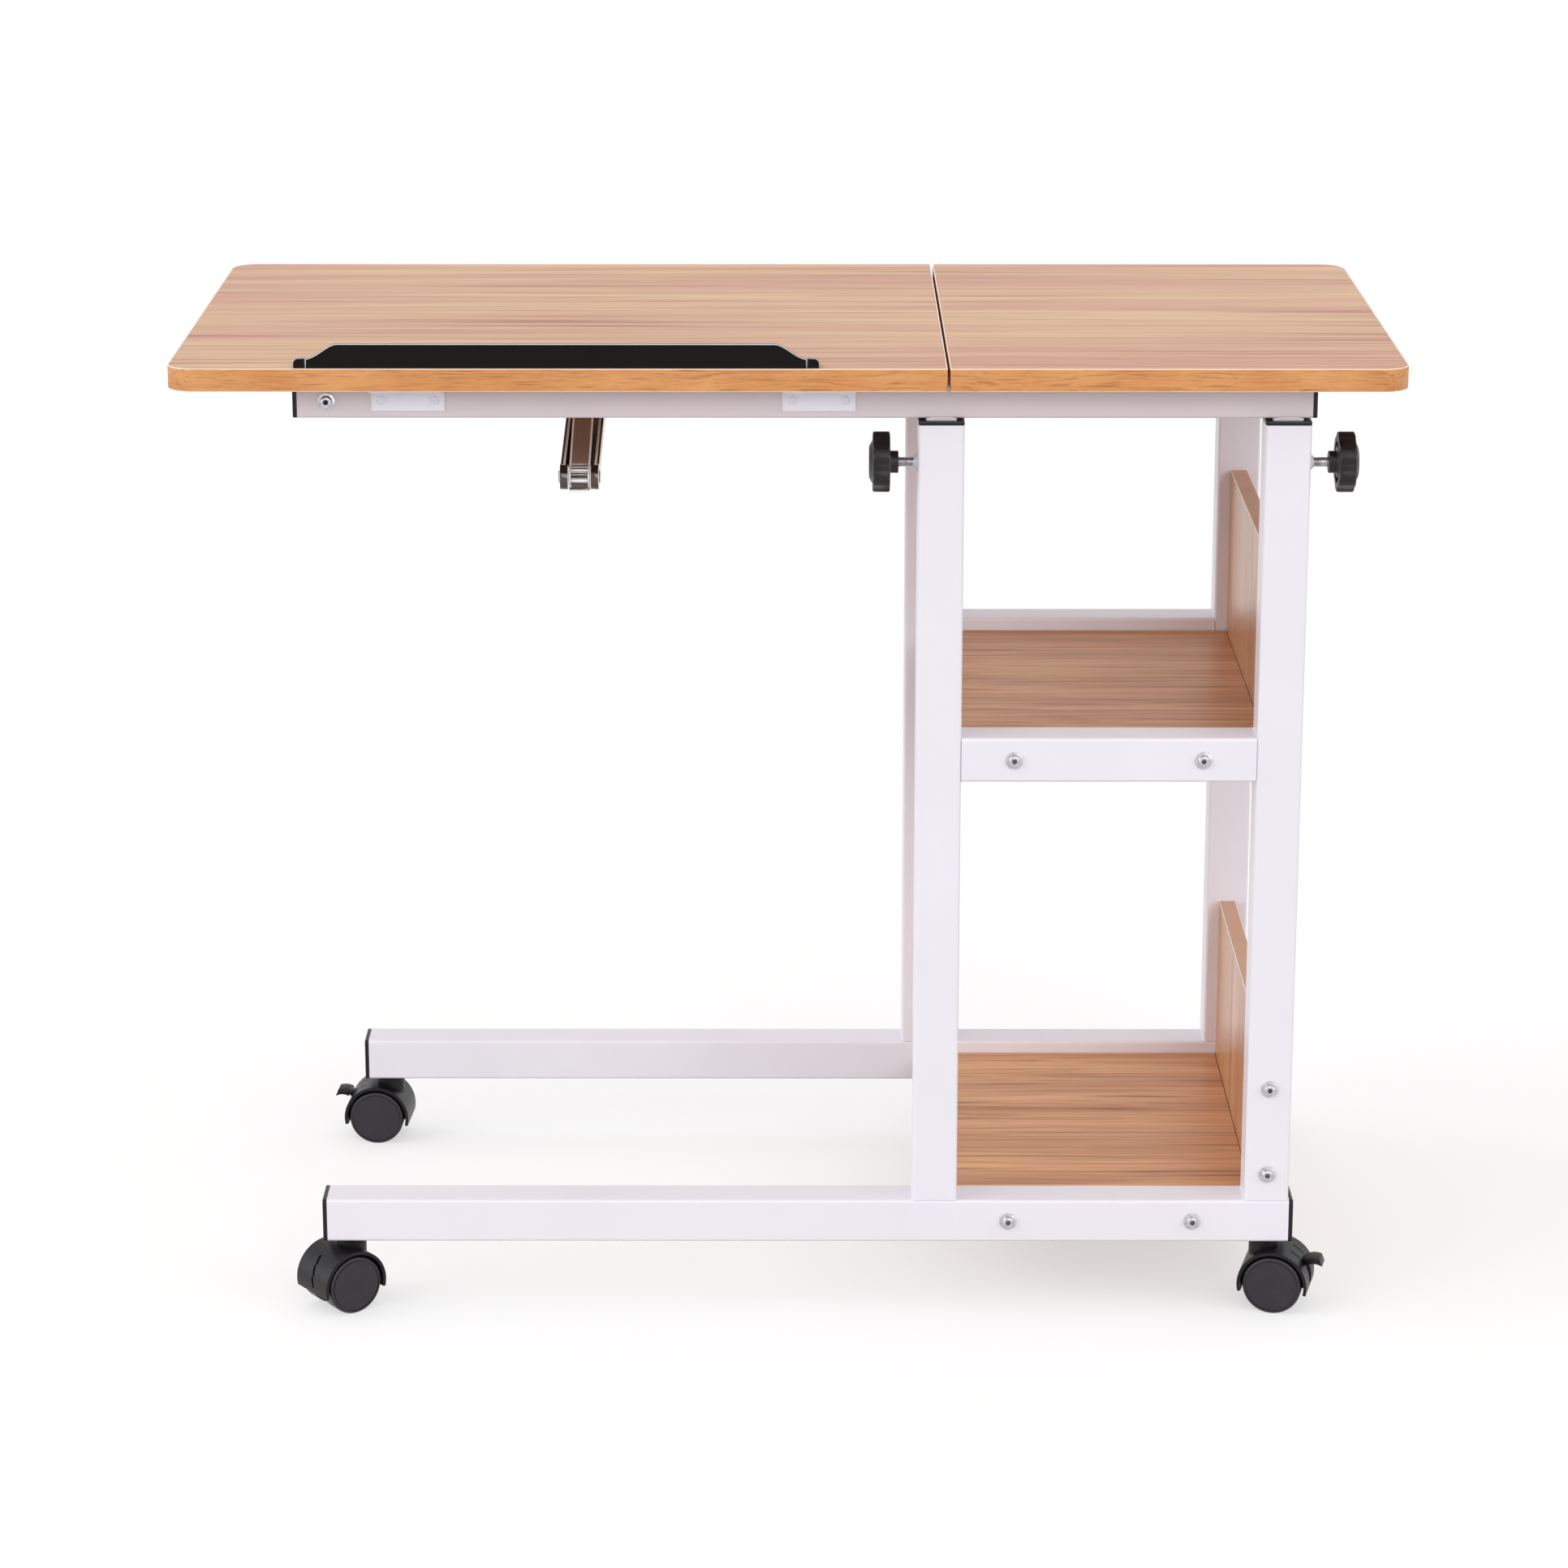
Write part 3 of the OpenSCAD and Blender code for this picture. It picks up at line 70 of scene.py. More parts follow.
# node trees
class Tree:
    # short calls for building a node tree, so that each material reads top to bottom
    def __init__(self, tree):
        self.tree = tree
        self.column = 0

    def add(self, kind, **settings):
        node = self.tree.nodes.new(kind)
        self.column += 1
        node.location = (self.column * 180, 0)
        for key, value in settings.items():
            setattr(node, key, value)
        return node

    def put(self, socket, value):
        if isinstance(value, bpy.types.NodeSocket):
            self.tree.links.new(value, socket)
        else:
            socket.default_value = value

    def mapped(self, source, scale, turn=(0, 0, 0)):
        node = self.add("ShaderNodeMapping")
        self.put(node.inputs["Vector"], source)
        node.inputs["Rotation"].default_value = turn
        self.put(node.inputs["Scale"], scale)
        return node.outputs["Vector"]

    def noise(self, source, scale, detail, roughness=0.5):
        node = self.add("ShaderNodeTexNoise")
        self.put(node.inputs["Vector"], source)
        self.put(node.inputs["Scale"], scale)
        node.inputs["Detail"].default_value = detail
        node.inputs["Roughness"].default_value = roughness
        return node.outputs["Fac"]

    def span(self, value, low, high, newLow=0.0, newHigh=1.0):
        node = self.add("ShaderNodeMapRange")
        self.put(node.inputs["Value"], value)
        for name, number in (("From Min", low), ("From Max", high), ("To Min", newLow), ("To Max", newHigh)):
            self.put(node.inputs[name], number)
        return node.outputs["Result"]

    def math(self, operation, first, second=0.0):
        node = self.add("ShaderNodeMath", operation=operation)
        self.put(node.inputs[0], first)
        self.put(node.inputs[1], second)
        return node.outputs[0]

    def mix(self, factor, first, second, blend="MIX"):
        node = self.add("ShaderNodeMix", data_type="RGBA", blend_type=blend)
        self.put(node.inputs[0], factor)
        self.put(node.inputs[6], first)
        self.put(node.inputs[7], second)
        return node.outputs[2]


def addSockets(tree, way, sockets):
    # sockets gives the labels for each kind of socket
    for kind, labels in sockets.items():
        for label in labels:
            tree.interface.new_socket(label, in_out=way, socket_type="NodeSocket" + kind)


def shaderGroup(name, inputs, outputs):
    tree = bpy.data.node_groups.new(name, "ShaderNodeTree")
    addSockets(tree, "INPUT", inputs)
    addSockets(tree, "OUTPUT", outputs)
    build = Tree(tree)
    return build, build.add("NodeGroupInput").outputs, build.add("NodeGroupOutput").inputs


def woodFigureGroup():
    # printed wood figure, drawn out along X: soft bands in two tones, thin dark lines and faint light ones
    build, given, out = shaderGroup("woodFigure", {
        "Vector": ["Vector"], "Color": ["Light", "Dark", "Line"],
        "Float": ["Band Width", "Line Width", "Length", "Contrast", "Line Amount", "Wander"]},
        {"Color": ["Color"], "Float": ["Height", "Lines"]})

    def stretched(along, across):
        scale = build.add("ShaderNodeCombineXYZ")
        build.put(scale.inputs[0], build.math("DIVIDE", along, given["Length"]))
        for i in (1, 2):
            build.put(scale.inputs[i], across)
        return scale.outputs[0]

    drift = build.noise(build.mapped(given["Vector"], stretched(0.7, 3.0)), 1.0, 2.0)
    shift = build.add("ShaderNodeCombineXYZ")
    aside = build.math("MULTIPLY", build.math("SUBTRACT", drift, 0.5), given["Wander"])
    for i in (1, 2):
        build.put(shift.inputs[i], aside)
    moved = build.add("ShaderNodeVectorMath", operation="ADD")
    build.put(moved.inputs[0], given["Vector"])
    build.put(moved.inputs[1], shift.outputs[0])
    place = moved.outputs[0]
    broad = build.math("DIVIDE", 1.0, given["Band Width"])
    thin = build.math("DIVIDE", 1.0, given["Line Width"])
    wide = build.noise(build.mapped(place, stretched(1.0, broad)), 1.0, 3.0)
    lines = build.noise(build.mapped(place, stretched(1.6, thin)), 1.0, 3.0, 0.55)
    finer = build.math("MULTIPLY", thin, 3.1)
    fine = build.noise(build.mapped(place, stretched(5.0, finer)), 1.0, 2.0)
    half = build.math("MULTIPLY", given["Contrast"], 0.25)
    bands = build.span(wide, build.math("SUBTRACT", 0.5, half), build.math("ADD", 0.5, half))
    colour = build.mix(bands, given["Dark"], given["Light"])
    pale = build.math("MULTIPLY", build.span(lines, 0.46, 0.3), 0.5)
    colour = build.mix(pale, colour, given["Light"])
    dark = build.math("MULTIPLY", build.span(lines, 0.52, 0.68), given["Line Amount"])
    fleckAmount = build.math("MULTIPLY", given["Line Amount"], 0.4)
    patchy = build.math("MULTIPLY", build.span(fine, 0.5, 0.68), fleckAmount)
    mask = build.math("MAXIMUM", dark, patchy)
    build.put(out["Color"], build.mix(mask, colour, given["Line"]))
    build.put(out["Height"], build.math("SUBTRACT", build.math("MULTIPLY", fine, 0.4), mask))
    build.put(out["Lines"], mask)
    return build.tree


def fineSkinGroup():
    # orange peel and faint dust of a painted or moulded skin
    build, given, out = shaderGroup("fineSkin", {
        "Vector": ["Vector"], "Color": ["Base", "Shade"],
        "Float": ["Grain Size", "Tone Size", "Tone Amount"]},
        {"Color": ["Color"], "Float": ["Height", "Tone"]})
    grain = build.noise(given["Vector"], build.math("DIVIDE", 1.0, given["Grain Size"]), 2.0)
    tone = build.noise(given["Vector"], build.math("DIVIDE", 1.0, given["Tone Size"]), 4.0, 0.6)
    toned = build.math("MULTIPLY", build.span(tone, 0.35, 0.7), given["Tone Amount"])
    build.put(out["Color"], build.mix(toned, given["Base"], given["Shade"]))
    build.put(out["Height"], grain)
    build.put(out["Tone"], toned)
    return build.tree


woodFigure = woodFigureGroup()
fineSkin = fineSkinGroup()


# materials
def linear(red, green, blue):
    # screen colour 0 to 255 to the linear value that sockets take
    def one(value):
        value = value / 255
        return value / 12.92 if value <= 0.04045 else ((value + 0.055) / 1.055) ** 2.4
    return (one(red), one(green), one(blue), 1.0)


def startMaterial(name):
    material = bpy.data.materials.new(name)
    material.use_nodes = True
    build = Tree(material.node_tree)
    surface = material.node_tree.nodes["Principled BSDF"]
    place = build.add("ShaderNodeTexCoord").outputs["Object"]
    return material, build, surface, place


def useGroup(build, group, **values):
    node = build.add("ShaderNodeGroup")
    node.node_tree = group
    for key, value in values.items():
        build.put(node.inputs[key.replace("_", " ")], value)
    return node.outputs


def bumped(build, surface, height, strength, distance):
    bump = build.add("ShaderNodeBump")
    bump.inputs["Strength"].default_value = strength
    bump.inputs["Distance"].default_value = distance
    build.put(bump.inputs["Height"], height)
    build.put(surface.inputs["Normal"], bump.outputs["Normal"])


relief = {"woodStrength": 0.25, "woodDepth": 0.3, "lineRoughness": 0.12, "skinDepth": 0.25,
          "coatRoughness": 0.15}


def woodMaterial(name, look):
    material, build, surface, place = startMaterial(name)
    if look["upright"]:
        place = build.mapped(place, (1, 1, 1), (0, math.radians(90), 0))
    figure = useGroup(
        build, woodFigure, Vector=place,
        Light=linear(*look["light"]), Dark=linear(*look["dark"]), Line=linear(*look["line"]),
        Band_Width=mm(look["bandWidth"]), Line_Width=mm(look["lineWidth"]), Length=mm(look["length"]),
        Contrast=look["contrast"], Line_Amount=look["lineAmount"], Wander=mm(look["wander"]))
    build.put(surface.inputs["Base Color"], figure["Color"])
    rougher = look["roughness"] + relief["lineRoughness"]
    roughness = build.span(figure["Lines"], 0, 0.6, look["roughness"], rougher)
    build.put(surface.inputs["Roughness"], roughness)
    surface.inputs["Specular IOR Level"].default_value = look["gloss"]
    bumped(build, surface, figure["Height"], relief["woodStrength"], mm(relief["woodDepth"]))
    return material


def skinMaterial(name, look):
    material, build, surface, place = startMaterial(name)
    skin = useGroup(
        build, fineSkin, Vector=place, Base=linear(*look["base"]), Shade=linear(*look["shade"]),
        Grain_Size=mm(look["grain"]), Tone_Size=mm(look["toneSize"]), Tone_Amount=look["tone"])
    build.put(surface.inputs["Base Color"], skin["Color"])
    roughness = build.span(skin["Tone"], 0, 1, look["roughness"], look["roughness"] + look["wear"])
    build.put(surface.inputs["Roughness"], roughness)
    surface.inputs["Metallic"].default_value = look["metal"]
    surface.inputs["Specular IOR Level"].default_value = look["gloss"]
    surface.inputs["Coat Weight"].default_value = look["coat"]
    surface.inputs["Coat Roughness"].default_value = relief["coatRoughness"]
    bumped(build, surface, skin["Height"], look["bump"], mm(look["grain"]) * relief["skinDepth"])
    return material


woodLooks = {
    "laminate": dict(
        light=(219, 183, 145), dark=(203, 152, 131), line=(150, 104, 86),
        bandWidth=26, lineWidth=4.4, length=460, wander=8,
        contrast=0.6, lineAmount=0.6, roughness=0.44, gloss=0.18, upright=False),
    "edge_band": dict(
        light=(221, 158, 102), dark=(210, 144, 88), line=(136, 80, 40),
        bandWidth=26, lineWidth=0.8, length=60, wander=7,
        contrast=0.5, lineAmount=0.62, roughness=0.4, gloss=0.25, upright=False),
    "shelf_wood": dict(
        light=(236, 178, 128), dark=(196, 136, 96), line=(104, 60, 34),
        bandWidth=26, lineWidth=1.7, length=420, wander=16,
        contrast=0.8, lineAmount=0.85, roughness=0.36, gloss=0.22, upright=False),
    "panel_wood": dict(
        light=(216, 158, 108), dark=(186, 127, 82), line=(112, 66, 36),
        bandWidth=16, lineWidth=2.4, length=400, wander=8,
        contrast=0.8, lineAmount=0.75, roughness=0.27, gloss=1.0, upright=True),
}
skinLooks = {
    "white_paint": dict(
        base=(235, 231, 239), shade=(229, 225, 233), grain=1.1, toneSize=90, tone=0.6,
        roughness=0.34, wear=0.08, metal=0.0, gloss=0.35, coat=0.08, bump=0.15),
    # painted highlight: lighter white on the edges of the hinge leaves and on the paint beads
    "leaf_painted_highlight": dict(
        base=(248, 245, 251), shade=(240, 236, 244), grain=1.1, toneSize=20, tone=0.6,
        roughness=0.3, wear=0.08, metal=0.0, gloss=0.4, coat=0.1, bump=0.1),
    # painted shade: the rails' white paint darkened and warmed for the shadow of the boards above
    "rail_painted_shade": dict(
        base=(217, 206, 211), shade=(211, 200, 205), grain=1.1, toneSize=90, tone=0.6,
        roughness=0.34, wear=0.08, metal=0.0, gloss=0.35, coat=0.08, bump=0.15),
    "black_plastic": dict(
        base=(12, 8, 14), shade=(20, 15, 23), grain=0.6, toneSize=12, tone=0.5,
        roughness=0.36, wear=0.12, metal=0.0, gloss=0.28, coat=0.0, bump=0.3),
    "knob_plastic": dict(
        base=(15, 10, 11), shade=(23, 18, 19), grain=0.6, toneSize=12, tone=0.5,
        roughness=0.38, wear=0.12, metal=0.0, gloss=0.35, coat=0.0, bump=0.3),
    # painted highlight: grey on the bevelled edges of the black end caps, collars and knobs
    "plastic_painted_highlight": dict(
        base=(70, 67, 74), shade=(54, 51, 58), grain=0.6, toneSize=12, tone=0.5,
        roughness=0.3, wear=0.12, metal=0.0, gloss=0.5, coat=0.1, bump=0.1),
    "black_gloss": dict(
        base=(10, 7, 5), shade=(18, 13, 10), grain=0.8, toneSize=30, tone=0.5,
        roughness=0.2, wear=0.06, metal=0.0, gloss=0.12, coat=0.02, bump=0.08),
    # painted highlight: the light line along the stopper bar's rounded front edge
    "bar_painted_highlight": dict(
        base=(196, 194, 204), shade=(170, 168, 178), grain=0.8, toneSize=12, tone=0.5,
        roughness=0.25, wear=0.06, metal=0.0, gloss=0.5, coat=0.3, bump=0.05),
    "wheel_plastic": dict(
        base=(29, 26, 34), shade=(41, 38, 47), grain=0.5, toneSize=10, tone=0.6,
        roughness=0.34, wear=0.16, metal=0.0, gloss=0.45, coat=0.0, bump=0.25),
    "zinc": dict(
        base=(206, 204, 209), shade=(160, 158, 164), grain=0.4, toneSize=2, tone=0.8,
        roughness=0.16, wear=0.14, metal=0.95, gloss=0.5, coat=0.0, bump=0.12),
    # painted shade: dark in the sockets of the screws, paler in those of the frame bolts
    "painted_socket_shade": dict(
        base=(52, 48, 50), shade=(34, 30, 32), grain=0.4, toneSize=2, tone=0.8,
        roughness=0.5, wear=0.2, metal=0.4, gloss=0.4, coat=0.0, bump=0.1),
    "pale_painted_socket_shade": dict(
        base=(104, 102, 108), shade=(76, 74, 80), grain=0.4, toneSize=2, tone=0.8,
        roughness=0.4, wear=0.2, metal=0.6, gloss=0.4, coat=0.0, bump=0.1),
    "chrome": dict(
        base=(92, 83, 79), shade=(62, 54, 50), grain=0.6, toneSize=12, tone=0.6,
        roughness=0.12, wear=0.12, metal=1.0, gloss=0.5, coat=0.0, bump=0.06),
    # painted reflection: the strut's chrome web coloured brown for the boards it reflects
    "web_painted_reflection": dict(
        base=(148, 128, 115), shade=(132, 112, 100), grain=0.6, toneSize=30, tone=0.6,
        roughness=0.28, wear=0.12, metal=0.3, gloss=0.5, coat=0.1, bump=0.06),
    "shelf_edge": dict(
        base=(206, 152, 108), shade=(192, 138, 96), grain=0.6, toneSize=40, tone=0.6,
        roughness=0.4, wear=0.12, metal=0.0, gloss=0.3, coat=0.0, bump=0.1),
    "panel_edge": dict(
        base=(214, 168, 140), shade=(204, 156, 128), grain=0.6, toneSize=40, tone=0.6,
        roughness=0.4, wear=0.12, metal=0.0, gloss=0.3, coat=0.0, bump=0.1),
    # painted highlight: near white on the strut's rims, drum ribs and tab lip
    "strut_painted_highlight": dict(
        base=(255, 254, 254), shade=(244, 241, 240), grain=0.5, toneSize=8, tone=0.4,
        roughness=0.2, wear=0.1, metal=0.1, gloss=0.6, coat=0.3, bump=0.05),
    # painted shade: dark brown on the shelves' bevels, standing in for the shadow gaps along their edges
    "shelf_painted_shade": dict(
        base=(116, 78, 58), shade=(98, 64, 46), grain=0.5, toneSize=20, tone=0.5,
        roughness=0.5, wear=0.1, metal=0.0, gloss=0.3, coat=0.0, bump=0.05),
    # painted highlight: pale on the bevelled edges of the board edging and the side panels
    "pale_painted_highlight": dict(
        base=(250, 236, 226), shade=(240, 220, 206), grain=0.5, toneSize=20, tone=0.5,
        roughness=0.3, wear=0.1, metal=0.0, gloss=0.5, coat=0.2, bump=0.05),
}
finishes = {name: woodMaterial(name, look) for name, look in woodLooks.items()}
finishes.update({name: skinMaterial(name, look) for name, look in skinLooks.items()})
slotOf = {entry["node"]: entry["material_slot"] for entry in frame["record"]["subparts"]}
for nodeName, part in nodes.items():
    part.data.materials.clear()
    part.data.materials.append(finishes[slotOf[nodeName]])
for nodeName in nodes:
    if nodeName in ("front_rail", "rear_rail"):
        nodes[nodeName].data.materials[0] = finishes["rail_painted_shade"]      # painted shade: a darker, warmer white for the boards' shadow on the rails
    elif nodeName.startswith("knob"):
        nodes[nodeName].data.materials[0] = finishes["knob_plastic"]
print("materials:", len(finishes))


# softened edges: the bevel's steps and least angle, the merging distance in mm, the angle in degrees below
# which faces count as one, and the area in square metres above which a face is flat and is shaded flat
bevels = {"segments": 2, "angle": 35, "merge": 0.002, "straight": 0.5, "flatArea": 0.0004}


def finishPiece(piece, body, slot, *replaced):
    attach(piece, body)
    if replaced:
        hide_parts(*replaced)
    return piece


def mergedCopy(node, name):
    mesh = nodes[node].data.copy()
    mesh.name = name
    work = bmesh.new()
    work.from_mesh(mesh)
    straight = math.radians(bevels["straight"])
    bmesh.ops.remove_doubles(work, verts=work.verts, dist=mm(bevels["merge"]))
    bmesh.ops.dissolve_limit(work, angle_limit=straight, verts=work.verts, edges=work.edges)
    work.to_mesh(mesh)
    work.free()
    return newObject(name, mesh)


def softened(node, width, edgeFinish, clamp):
    piece = mergedCopy(node, node + "_soft")
    bevel = piece.modifiers.new("softEdges", "BEVEL")
    bevel.width = width
    bevel.segments = bevels["segments"]
    bevel.limit_method = "ANGLE"
    bevel.angle_limit = math.radians(bevels["angle"])
    bevel.use_clamp_overlap = clamp      # off, because one short edge would narrow them all
    bevel.harden_normals = True
    if edgeFinish:
        piece.data.materials.append(finishes[edgeFinish])
        bevel.material = 1
    for polygon in piece.data.polygons:
        polygon.use_smooth = polygon.area < bevels["flatArea"]
    return finishPiece(piece, bodyOf[node], slotOf[node], node)


def paintFaces(piece, finish, chosen):
    # gives a finish to the faces whose centre, normal and corners the test accepts
    mesh = piece.data
    mesh.materials.append(finishes[finish])
    for polygon in mesh.polygons:
        if chosen(polygon.center, polygon.normal, [mesh.vertices[i].co for i in polygon.vertices]):
            polygon.material_index = len(mesh.materials) - 1


def insideBox(point, low, high):
    return all(low[i] <= point[i] <= high[i] for i in range(3))


# bevel width in mm and the finish that the bevel takes, for each group of nodes; the light edge finishes are
# painted highlights and the shelves' dark one is painted shade
softEdges = {
    ("fixed_board", "tilting_board"): (0.3, None),
    ("fixed_board_edging", "tilting_board_edging"): (0.45, "pale_painted_highlight"),
    ("upper_shelf", "lower_shelf"): (0.5, "shelf_painted_shade"),
    ("upper_side_panel", "lower_side_panel"): (0.5, "pale_painted_highlight"),
    ("leg_end_caps", "rail_end_caps"): (0.5, "plastic_painted_highlight"),
    ("post_collars",): (0.35, "plastic_painted_highlight"),
    ("strut_outer_arm", "strut_inner_arm"): (0.3, "strut_painted_highlight"),
    ("strut_ratchet",): (0.2, "strut_painted_highlight"),
    ("hinge_fixed_leaves", "hinge_moving_leaves"): (0.3, "leaf_painted_highlight"),
    ("rail_screws", "frame_bolts"): (0.15, None),
    ("brake_pedal_front_right", "brake_pedal_rear_left"): (0.4, None),
    tuple("knob_" + place for place in places): (0.35, "plastic_painted_highlight"),
}
softPieces = {}
for nodeNames, (width, edgeFinish) in softEdges.items():
    for nodeName in nodeNames:
        clamp = nodeName.startswith(("brake", "hinge"))
        softPieces[nodeName] = softened(nodeName, mm(width), edgeFinish, clamp)
print("softened edges:", len(softPieces))


def partBoxes(mesh):
    # boxes of a mesh's separate solids, found by joining its edges
    owner = list(range(len(mesh.vertices)))

    def root(i):
        while owner[i] != i:
            owner[i] = owner[owner[i]]
            i = owner[i]
        return i
    for edge in mesh.edges:
        owner[root(edge.vertices[0])] = root(edge.vertices[1])
    groups = {}
    for vertex in mesh.vertices:
        groups.setdefault(root(vertex.index), []).append(vertex.co.copy())
    return [tuple(Vector([pick(point[i] for point in points) for i in range(3)]) for pick in (min, max))
            for points in groups.values()]


# bolts and screws: painted shade in the sockets, and screws in the hinge leaves that were painted over with
# the rails
# a socket's faces lie within its reach of the axis, and between its depth and its rim below the screw's end
boltLook = {"socketReach": 1.95, "socketDepth": 3.2, "socketRim": 0.3, "near": 2, "leafReach": 4}


def boltSockets(node, look, finish):
    piece = softPieces[node]
    spots = []
    for low, high in partBoxes(piece.data):
        size = high - low
        axis = max(range(3), key=lambda i: size[i])
        spots.append((axis, (low + high) / 2, size[axis] / 2))

    def inSocket(centre, normal, corners):
        for axis, middle, half in spots:
            if (centre - middle).length > half + mm(look["near"]):
                continue
            across = [i for i in range(3) if i != axis]
            aside = [math.hypot(*[(corner - middle)[i] for i in across]) for corner in corners]
            along = abs((centre - middle)[axis])
            inDepth = half - mm(look["socketDepth"]) < along < half - mm(look["socketRim"])
            return inDepth and max(aside) < mm(look["socketReach"])
        return False
    paintFaces(piece, finish, inSocket)


boltSockets("rail_screws", boltLook, "painted_socket_shade")
boltSockets("frame_bolts", boltLook, "pale_painted_socket_shade")
leafLow, leafHigh = boxOf("hinge_fixed_leaves")
leafReach = Vector((0, mm(boltLook["leafReach"]), 0))
paintFaces(softPieces["rail_screws"], "white_paint",
           lambda centre, normal, corners: insideBox(centre, leafLow - leafReach, leafHigh + leafReach))
for level in ("upper", "lower"):
    paintFaces(softPieces[level + "_side_panel"], "panel_edge",
               lambda centre, normal, corners: abs(normal.x) < 0.5)
    paintFaces(softPieces[level + "_shelf"], "shelf_edge",
               lambda centre, normal, corners: abs(normal.z) < 0.2)


# the strut: painted highlights along the rolled rims of its plates, a web coloured brown as a painted
# reflection of the boards above, and pairs of painted highlights on the drum's ribs
strutLook = {"rim": 1.3, "outerRim": 0.9, "lip": 3.4, "cheek": 8.5, "cheekGap": 1, "drum": 6,
             "ribDepth": 0.75, "ribAngles": (53, -16), "ribSpread": 15, "tabLip": 9.1, "webStart": 9.8,
             "slack": 0.2}


def cutAcross(piece, cuts):
    # cuts a piece by planes across X, so that a strip can take its own finish
    work = bmesh.new()
    work.from_mesh(piece.data)
    for cut in cuts:
        everything = work.verts[:] + work.edges[:] + work.faces[:]
        bmesh.ops.bisect_plane(work, geom=everything, dist=1e-7, plane_co=(cut, 0, 0), plane_no=(1, 0, 0))
    work.to_mesh(piece.data)
    work.free()


def dressStrut(look):
    outer, inner, drum = (softPieces["strut_" + name] for name in ("outer_arm", "inner_arm", "ratchet"))
    low, high = boxOf("strut_outer_arm")
    middle, outerHalf = (low.x + high.x) / 2, (high.x - low.x) / 2
    knee = Vector((middle, low.y + mm(look["cheek"]), low.z + mm(look["cheek"])))
    innerLow, innerHigh = boxOf("strut_inner_arm")
    innerHalf = (innerHigh.x - innerLow.x) / 2

    def offset(centre):
        return abs(centre.x - middle)

    def reach(centre):
        return math.hypot(centre.y - knee.y, centre.z - knee.z)
    lipEdge = outerHalf - mm(look["lip"])
    marks = [outerHalf - mm(look["outerRim"]), lipEdge + mm(look["rim"]) / 2]
    webHalf = innerHalf - mm(look["rim"])
    cutAcross(outer, [middle + side * mark for side in (-1, 1) for mark in marks])
    cutAcross(inner, [middle + side * webHalf for side in (-1, 1)])

    def onOuterRim(centre, normal, corners):
        if abs(normal.x) >= 0.5 or reach(centre) <= mm(look["cheek"] + look["cheekGap"]):
            return False
        return offset(centre) > marks[0] or lipEdge - mm(look["slack"]) < offset(centre) < marks[1]

    def onInnerRim(centre, normal, corners):
        return abs(normal.x) < 0.5 and (offset(centre) > webHalf or reach(centre) < mm(look["webStart"]))
    paintFaces(outer, "strut_painted_highlight", onOuterRim)
    paintFaces(inner, "web_painted_reflection", lambda centre, normal, corners: offset(centre) < webHalf)
    paintFaces(inner, "strut_painted_highlight", onInnerRim)

    def onRib(centre, normal, corners):
        if abs(normal.x) > 0.5:
            return False
        if reach(centre) > mm(look["tabLip"]):
            return True
        turn = math.degrees(math.atan2(centre.z - knee.z, knee.y - centre.y))
        onDrum = mm(look["drum"] - look["ribDepth"]) < reach(centre) < mm(look["drum"] + look["slack"])
        return onDrum and any(abs(turn - angle) < look["ribSpread"] for angle in look["ribAngles"])
    paintFaces(drum, "strut_painted_highlight", onRib)


dressStrut(strutLook)
print("bolts and strut dressed")


# stopper bar: a wall with soft shoulders and a painted highlight along its front edge, set-back ends, foot
# and pegs
barLook = {"wall": 3, "foot": 2.4, "endLength": 8, "endHeight": 6.5, "slope": 21, "setBack": 0.8,
           "corner": 3.4, "nose": 1.2, "noseGap": 0.1, "edge": 1.1, "endEdge": 0.6, "footEdge": 0.4,
           "pegRadius": 2.5, "pegSides": 32, "steps": 18, "edgeSteps": 4, "highlightRings": (1, 3)}


def quarterArc(radius, top):
    # an upright rise from x = 0 that rounds over to its full height, as (x, height) points
    turns = [math.radians(15 * k) for k in range(7)]
    return [(radius * (1 - math.cos(turn)), top - radius * (1 - math.sin(turn))) for turn in turns]


def barOutlines(look, low, high, top):
    # front outlines of the wall and of its two low ends, as (x, height) points from left to right
    end, slope, steps, inside = mm(look["endHeight"]), mm(look["slope"]), look["steps"], mm(look["endLength"])
    shoulder = []
    for i in range(1, steps + 1):
        share = i / steps
        shoulder.append((share * slope, end + (top - end) * share ** 2 * (3 - 2 * share)))
    noseEnd = mm(look["nose"] + look["noseGap"])
    half = [(0, 0)] + quarterArc(mm(look["nose"]), end) + [point for point in shoulder if point[0] > noseEnd]
    first, last = low.x + inside, high.x - inside
    wall = [(first + x, z) for x, z in half] + [(last - x, z) for x, z in reversed(half)]
    arc = [(low.x + x, z) for x, z in quarterArc(mm(look["corner"]), end)]
    leftEnd = [(low.x, 0)] + arc + [(low.x + inside, end), (low.x + inside, 0)]
    rightEnd = [(low.x + high.x - x, z) for x, z in reversed(leftEnd)]
    return wall, leftEnd, rightEnd


